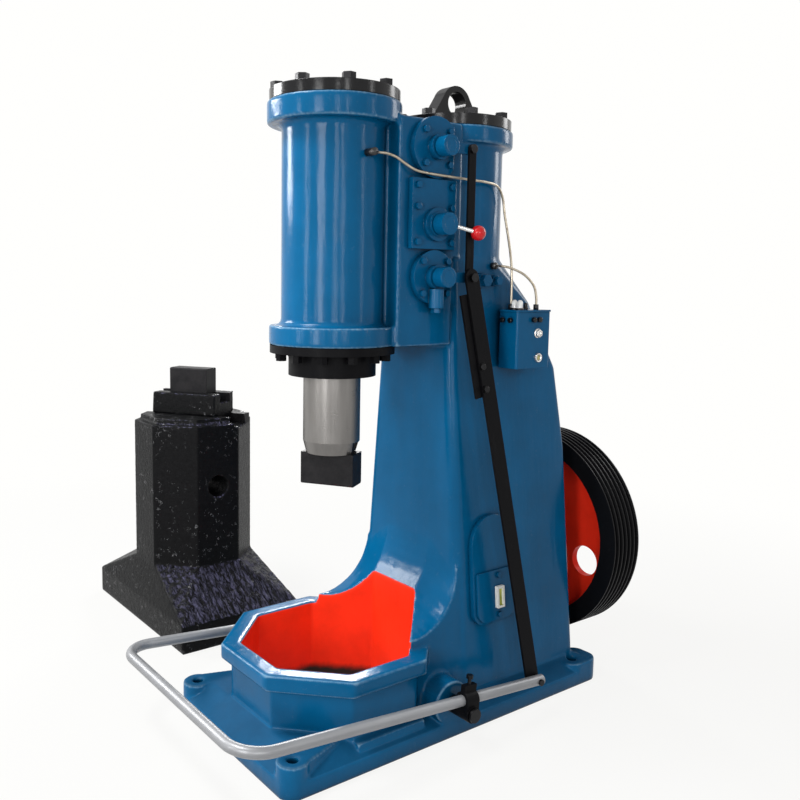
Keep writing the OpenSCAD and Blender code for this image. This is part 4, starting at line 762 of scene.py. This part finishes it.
# Profiles of the lubricator's turned fittings: radius and height of each ring
DOME = (
    (0.0118, 0.002),
    (0.0122, 0.026),
    (0.0114, 0.033),
    (0.0092, 0.0385),
    (0.0056, 0.0418),
    (0.0016, 0.0430),
)
COLLAR = ((0.0145, 0.0), (0.0145, 0.006), (0.0135, 0.0075), (0.0112, 0.0078))
SCREW = (
    (0.0060, 0.0),
    (0.0060, 0.004),
    (0.0108, 0.0045),
    (0.0112, 0.0135),
    (0.0098, 0.0155),
    (0.0040, 0.0160),
)
FILLER = (
    (0.0100, 0.0),
    (0.0100, 0.008),
    (0.0078, 0.010),
    (0.0078, 0.024),
    (0.0050, 0.027),
    (0.0012, 0.0275),
)
WASHER = ((0.0190, 0.0), (0.0190, 0.0026), (0.0180, 0.0034), (0.0100, 0.0035))
HEAD = (
    (0.0168, 0.0),
    (0.0172, 0.0012),
    (0.0172, 0.0110),
    (0.0150, 0.0135),
    (0.0090, 0.0138),
    (0.0084, 0.0090),
)
BEZEL = (
    (0.0195, 0.0),
    (0.0195, 0.006),
    (0.0180, 0.0095),
    (0.0140, 0.0100),
    (0.0118, 0.0078),
    (0.0110, 0.0040),
)
EYE = ((0.0112, 0.001), (0.0112, 0.0050), (0.0090, 0.0066), (0.0040, 0.0074))
SIGHT_END = ((0.0096, 0.0), (0.0110, 0.0012), (0.0110, 0.0108), (0.0096, 0.0120))
SIGHT_TUBE = ((0.0074, 0.0), (0.0078, 0.004), (0.0078, 0.044), (0.0074, 0.0478))

# Places on the lid and the tank under it, as shares of their width, length and height
DOMES = ((0.46, 0.2), (0.74, 0.2))
FILLER_PLACE = (0.26, 0.66)
SIDE_SCREWS = (0.45, 0.62)
FRONT_SCREWS = (0.28, 0.68)
PLUG_PLACE = (0.6, 0.40)
EYE_PLACE = (0.63, 0.82)

# Offsets of the fittings, in metres
LID_OVERHANG = 0.004
SIDE_SCREW_DROP, FRONT_SCREW_DROP = 0.040, 0.042
WASHER_THICKNESS = 0.003
SIGHT_STANDOFF = 0.011
SIGHT_HALF = 0.035
SIGHT_END_GAP = 0.058
SIGHT_TUBE_LIFT = 0.011


class HAMMER_OT_lubricator(bpy.types.Operator):
    """Builds the domes, screws, plugs and sights of the lubricator and rounds its pipes"""

    bl_idname = "hammer.lubricator"
    bl_label = "Lubricator"

    def execute(self, context):
        low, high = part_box("lubricator_lid")
        overhang = Vector((LID_OVERHANG, LID_OVERHANG, 0))
        low, high = low + overhang, high - overhang
        width, length, top = high.x - low.x, high.y - low.y, high.z
        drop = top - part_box("lubricator_tank")[0].z
        out, ahead, up = Vector((1, 0, 0)), Vector((0, -1, 0)), Vector((0, 0, 1))

        def on_lid(across, along):
            return Vector((low.x + across * width, low.y + along * length, top))

        def on_side(along, down):
            return Vector((high.x, low.y + along * length, top - down))

        def on_front(across, down):
            return Vector((low.x + across * width, low.y, top - down))

        black = black_enamel(context.scene.hammer.colours)
        bright = plain_steel(
            "plug_steel", (0.62, 0.61, 0.59), 0.16, 0.28, rust=0.04, radius=0.0006
        )
        milky = sight_glass("cap_glass", 90.0, (0.66, 0.66, 0.64), (0.86, 0.86, 0.84), 0.18)
        oily = sight_glass("oil_glass", 120.0, (0.30, 0.27, 0.06), (0.46, 0.42, 0.14), 0.16)

        domes = [turned("dome", DOME, on_lid(*place), up) for place in DOMES]
        screws = [turned("collar", COLLAR, on_lid(*place), up) for place in DOMES]
        for share in SIDE_SCREWS:
            screws.append(turned("screw", SCREW, on_side(share, SIDE_SCREW_DROP), out, 12))
        for share in FRONT_SCREWS:
            screws.append(turned("screw", SCREW, on_front(share, FRONT_SCREW_DROP), ahead, 12))
        screws.append(turned("filler", FILLER, on_lid(*FILLER_PLACE), up, 20))
        self.fit(joined("lubricator_domes", domes), milky, "gauge_plastic")
        self.fit(joined("lubricator_screws", screws), black, "black_paint")

        plug = on_side(PLUG_PLACE[0], PLUG_PLACE[1] * drop)
        eye = on_side(EYE_PLACE[0], EYE_PLACE[1] * drop)
        plugs = [
            turned("washer", WASHER, plug, out),
            turned("head", HEAD, plug + out * WASHER_THICKNESS, out, 6),
            turned("bezel", BEZEL, eye, out),
        ]
        self.fit(joined("lubricator_plugs", plugs), bright, "bright_steel")
        self.fit(turned("lubricator_eye", EYE, eye, out), oily, "gauge_plastic")

        middle = (low.x + high.x) / 2
        rear = Vector((middle, high.y + SIGHT_STANDOFF, top - 0.5 * drop - SIGHT_HALF))
        ends = [turned("cap", SIGHT_END, rear + up * lift, up) for lift in (0, SIGHT_END_GAP)]
        self.fit(joined("sight_ends", ends), black, "black_paint")
        tube = turned("sight_tube", SIGHT_TUBE, rear + up * SIGHT_TUBE_LIFT, up)
        self.fit(tube, milky, "gauge_plastic")

        pipes = copy_nodes("oil_piping", "oil_pipes")
        dress(pipes, pipe_paint(top + PIPE_NUT_TOP), "frame", "copper", "oil_pipes", angle=44)
        return {"FINISHED"}

    def fit(self, piece, material, slot):
        dress(piece, material, "frame", slot, "lubricator_fittings")


class HAMMER_OT_finishes(bpy.types.Operator):
    """Gives every carried-over CAD node its finish"""

    bl_idname = "hammer.finishes"
    bl_label = "Finishes"

    def execute(self, context):
        colours = context.scene.hammer.colours
        black = black_enamel(colours)
        by_slot = {
            "blue_paint": blue_enamel(colours),
            "black_paint": black,
            "black_iron": black,
            "bright_steel": plain_steel("bright_steel", (0.5, 0.5, 0.49), 0.22, 0.36, rust=0.05),
            "dark_steel": plain_steel(
                "oiled_steel", (0.016, 0.016, 0.017), 0.30, 0.46, rust=0.05
            ),
            "die_steel": die_steel(),
            "grey_iron": plain_steel("grey_iron", (0.22, 0.22, 0.22), 0.4, 0.55),
            "bronze": plain_steel("bronze", (0.46, 0.28, 0.10), 0.28, 0.42, rust=0.1),
            "copper": plain_steel(
                "dull_copper", (0.42, 0.30, 0.20), 0.35, 0.5, metal=0.6, radius=0.001
            ),
            "rubber": plain_steel(
                "wiper_rubber", (0.018, 0.018, 0.018), 0.6, 0.75, metal=0.0, rust=0.0
            ),
            "red_plastic": red_knob(),
            "gauge_plastic": gauge_paint(*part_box("oil_gauge")),
            "silver_paint": treadle_silver(colours),
            "red_paint": pulley_paint(colours),
        }
        for part in frame["record"]["subparts"]:
            assign(CAD_NODES[part["node"]], by_slot[part["material_slot"]])
        for finish, nodes in (
            (ram_steel(colours), ("ram",)),
            (
                bar_black(colours),
                ("link_rod", "strap", "strap_splice", "gland", "gland_bolts", "treadle_brackets"),
            ),
            (
                rotor_paint(colours),
                ("upper_valve_rotor", "middle_valve_rotor", "lower_valve_rotor"),
            ),
            (lever_paint(colours), ("hand_lever",)),
        ):
            for node in nodes:
                assign(CAD_NODES[node], finish)
        return {"FINISHED"}


# Floor and backdrop
FLOOR_SIZE = 60
FLOOR_DROP = 0.001
# Distance over which the floor goes from taking shadow to pure white, and its white near the part
FLOOR_FADE = (2.0, 5.0)
FLOOR_NEAR_WHITE = 0.88
BACKDROP = (1.0, 0.998, 0.985, 1)
AMBIENT = (0.92, 0.95, 1.0, 1)
AMBIENT_STRENGTH = 0.22

# Lamps: name, place, width, height and power
LAMP_AIM = Vector((0, 0.2, 1.2))
LAMPS = (
    ("roof", (-0.9, -2.3, 5.6), 2.4, 1.2, 300),
    ("window_left", (-4.2, -2.9, 2.85), 1.3, 0.75, 100),
    ("skylight_left", (-4.3, -2.45, 3.6), 2.1, 0.36, 85),
    ("pane_left", (-0.45, -5.0, 2.2), 0.5, 2.4, 52),
    ("pane_front", (2.3, -4.4, 2.2), 1.0, 2.4, 115),
    ("pane_camera", (4.3, -2.6, 2.2), 0.4, 2.4, 36),
    ("pane_near", (4.8, -1.3, 2.4), 0.45, 2.4, 34),
    ("pane_right", (4.4, 2.4, 2.6), 0.25, 2.4, 20),
    ("rear_left", (-3.7, 2.6, 2.65), 1.0, 0.45, 90),
    ("rear_right", (0.8, 5.4, 3.4), 1.2, 2.4, 60),
)

# Camera of the photograph: place in metres, angles in degrees, shift in widths of the picture
CAMERA_PLACE = (2.731, -1.939, 1.782)
CAMERA_TURN, CAMERA_TILT, CAMERA_ROLL = 53.7, 6.2, 0.7
CAMERA_SHIFT = (0.0678, -0.033)
SENSOR_WIDTH = 36
CLIP_END = 200


class HAMMER_OT_stage(bpy.types.Operator):
    """Sets the floor, backdrop, lamps and camera"""

    bl_idname = "hammer.stage"
    bl_label = "Stage"

    def execute(self, context):
        settings = context.scene.hammer
        self.floor(tuple(settings.colours.floor))
        self.world()
        self.lamps()
        self.camera(settings.sizes.camera_lens)
        context.scene.view_settings.view_transform = "Standard"
        return {"FINISHED"}

    def floor(self, tone):
        deselect()
        bpy.ops.mesh.primitive_plane_add(size=FLOOR_SIZE, location=(0, 0, -FLOOR_DROP))
        floor = bpy.context.object
        floor.name = "floor"
        f = Finish("studio_floor")
        cloud = f.noise(0.6, 3.0, 0.5)
        skin = f.node("ShaderNodeBsdfDiffuse", {}, {"Color": f.shaded(cloud, tone, 0.99, 1.01)})
        glow = f.node("ShaderNodeEmission", {}, {"Color": BACKDROP, "Strength": 1.0})
        away = f.step(f.radius(f.axis(X), f.axis(Y)), *FLOOR_FADE)
        white = f.seen() * (away * (1 - FLOOR_NEAR_WHITE) + FLOOR_NEAR_WHITE)
        assign(floor, f.output(f.node("ShaderNodeMixShader", {}, {0: white, 1: skin, 2: glow})))

    def world(self):
        f = Finish("studio", "worlds")
        seen = f.node("ShaderNodeBackground", {}, {"Color": BACKDROP, "Strength": 1.0})
        lighting = {"Color": AMBIENT, "Strength": AMBIENT_STRENGTH}
        ambient = f.node("ShaderNodeBackground", {}, lighting)
        blend = f.node("ShaderNodeMixShader", {}, {0: f.seen(), 1: ambient, 2: seen})
        bpy.context.scene.world = f.output(blend, "ShaderNodeOutputWorld")

    def lamps(self):
        for name, place, width, height, power in LAMPS:
            deselect()
            bpy.ops.object.light_add(type="AREA", location=place)
            lamp = bpy.context.object
            lamp.name = name
            lamp.data.shape = "RECTANGLE"
            lamp.data.size = width
            lamp.data.size_y = height
            lamp.data.energy = power
            lamp.rotation_euler = (LAMP_AIM - Vector(place)).to_track_quat("-Z", "Y").to_euler()

    def camera(self, lens):
        """Stands where the photograph was taken, found by fitting the machine's own edges."""
        turn, tilt, roll = map(math.radians, (CAMERA_TURN, CAMERA_TILT, CAMERA_ROLL))
        level = Vector((math.cos(turn), math.sin(turn), 0))
        forward = Vector((-math.sin(turn), math.cos(turn), 0))
        ahead = forward * math.cos(tilt) - Vector((0, 0, math.sin(tilt)))
        right = level * math.cos(roll) + level.cross(ahead) * math.sin(roll)
        stand = Matrix((right, right.cross(ahead), -ahead)).transposed().to_4x4()
        stand.translation = CAMERA_PLACE
        deselect()
        bpy.ops.object.camera_add()
        camera = bpy.context.object
        camera.matrix_world = stand
        camera.data.sensor_fit = "HORIZONTAL"
        camera.data.sensor_width = SENSOR_WIDTH
        camera.data.lens = lens
        camera.data.shift_x, camera.data.shift_y = CAMERA_SHIFT
        camera.data.clip_end = CLIP_END
        bpy.context.scene.camera = camera


class HAMMER_PT_panel(bpy.types.Panel):
    """Lists the steps of the dressing"""

    bl_idname = "HAMMER_PT_panel"
    bl_label = "Power hammer"
    bl_space_type = "VIEW_3D"
    bl_region_type = "UI"
    bl_category = "Hammer"

    def draw(self, context):
        for step in STEPS:
            self.layout.operator(step.bl_idname)
        for group in (context.scene.hammer.sizes, context.scene.hammer.colours):
            for key in group.__annotations__:
                self.layout.prop(group, key)


STEPS = (
    HAMMER_OT_finishes,
    HAMMER_OT_casting,
    HAMMER_OT_anvil,
    HAMMER_OT_lubricator,
    HAMMER_OT_stage,
)
CLASSES = (HammerSizes, HammerColours, HammerSettings, *STEPS, HAMMER_PT_panel)


def register():
    for made in CLASSES:
        bpy.utils.register_class(made)
    bpy.types.Scene.hammer = PointerProperty(type=HammerSettings)


def unregister():
    del bpy.types.Scene.hammer
    for made in reversed(CLASSES):
        bpy.utils.unregister_class(made)


def main():
    register()
    for step in STEPS:
        group, name = step.bl_idname.split(".")
        getattr(getattr(bpy.ops, group), name)()


if __name__ == "__main__":
    main()
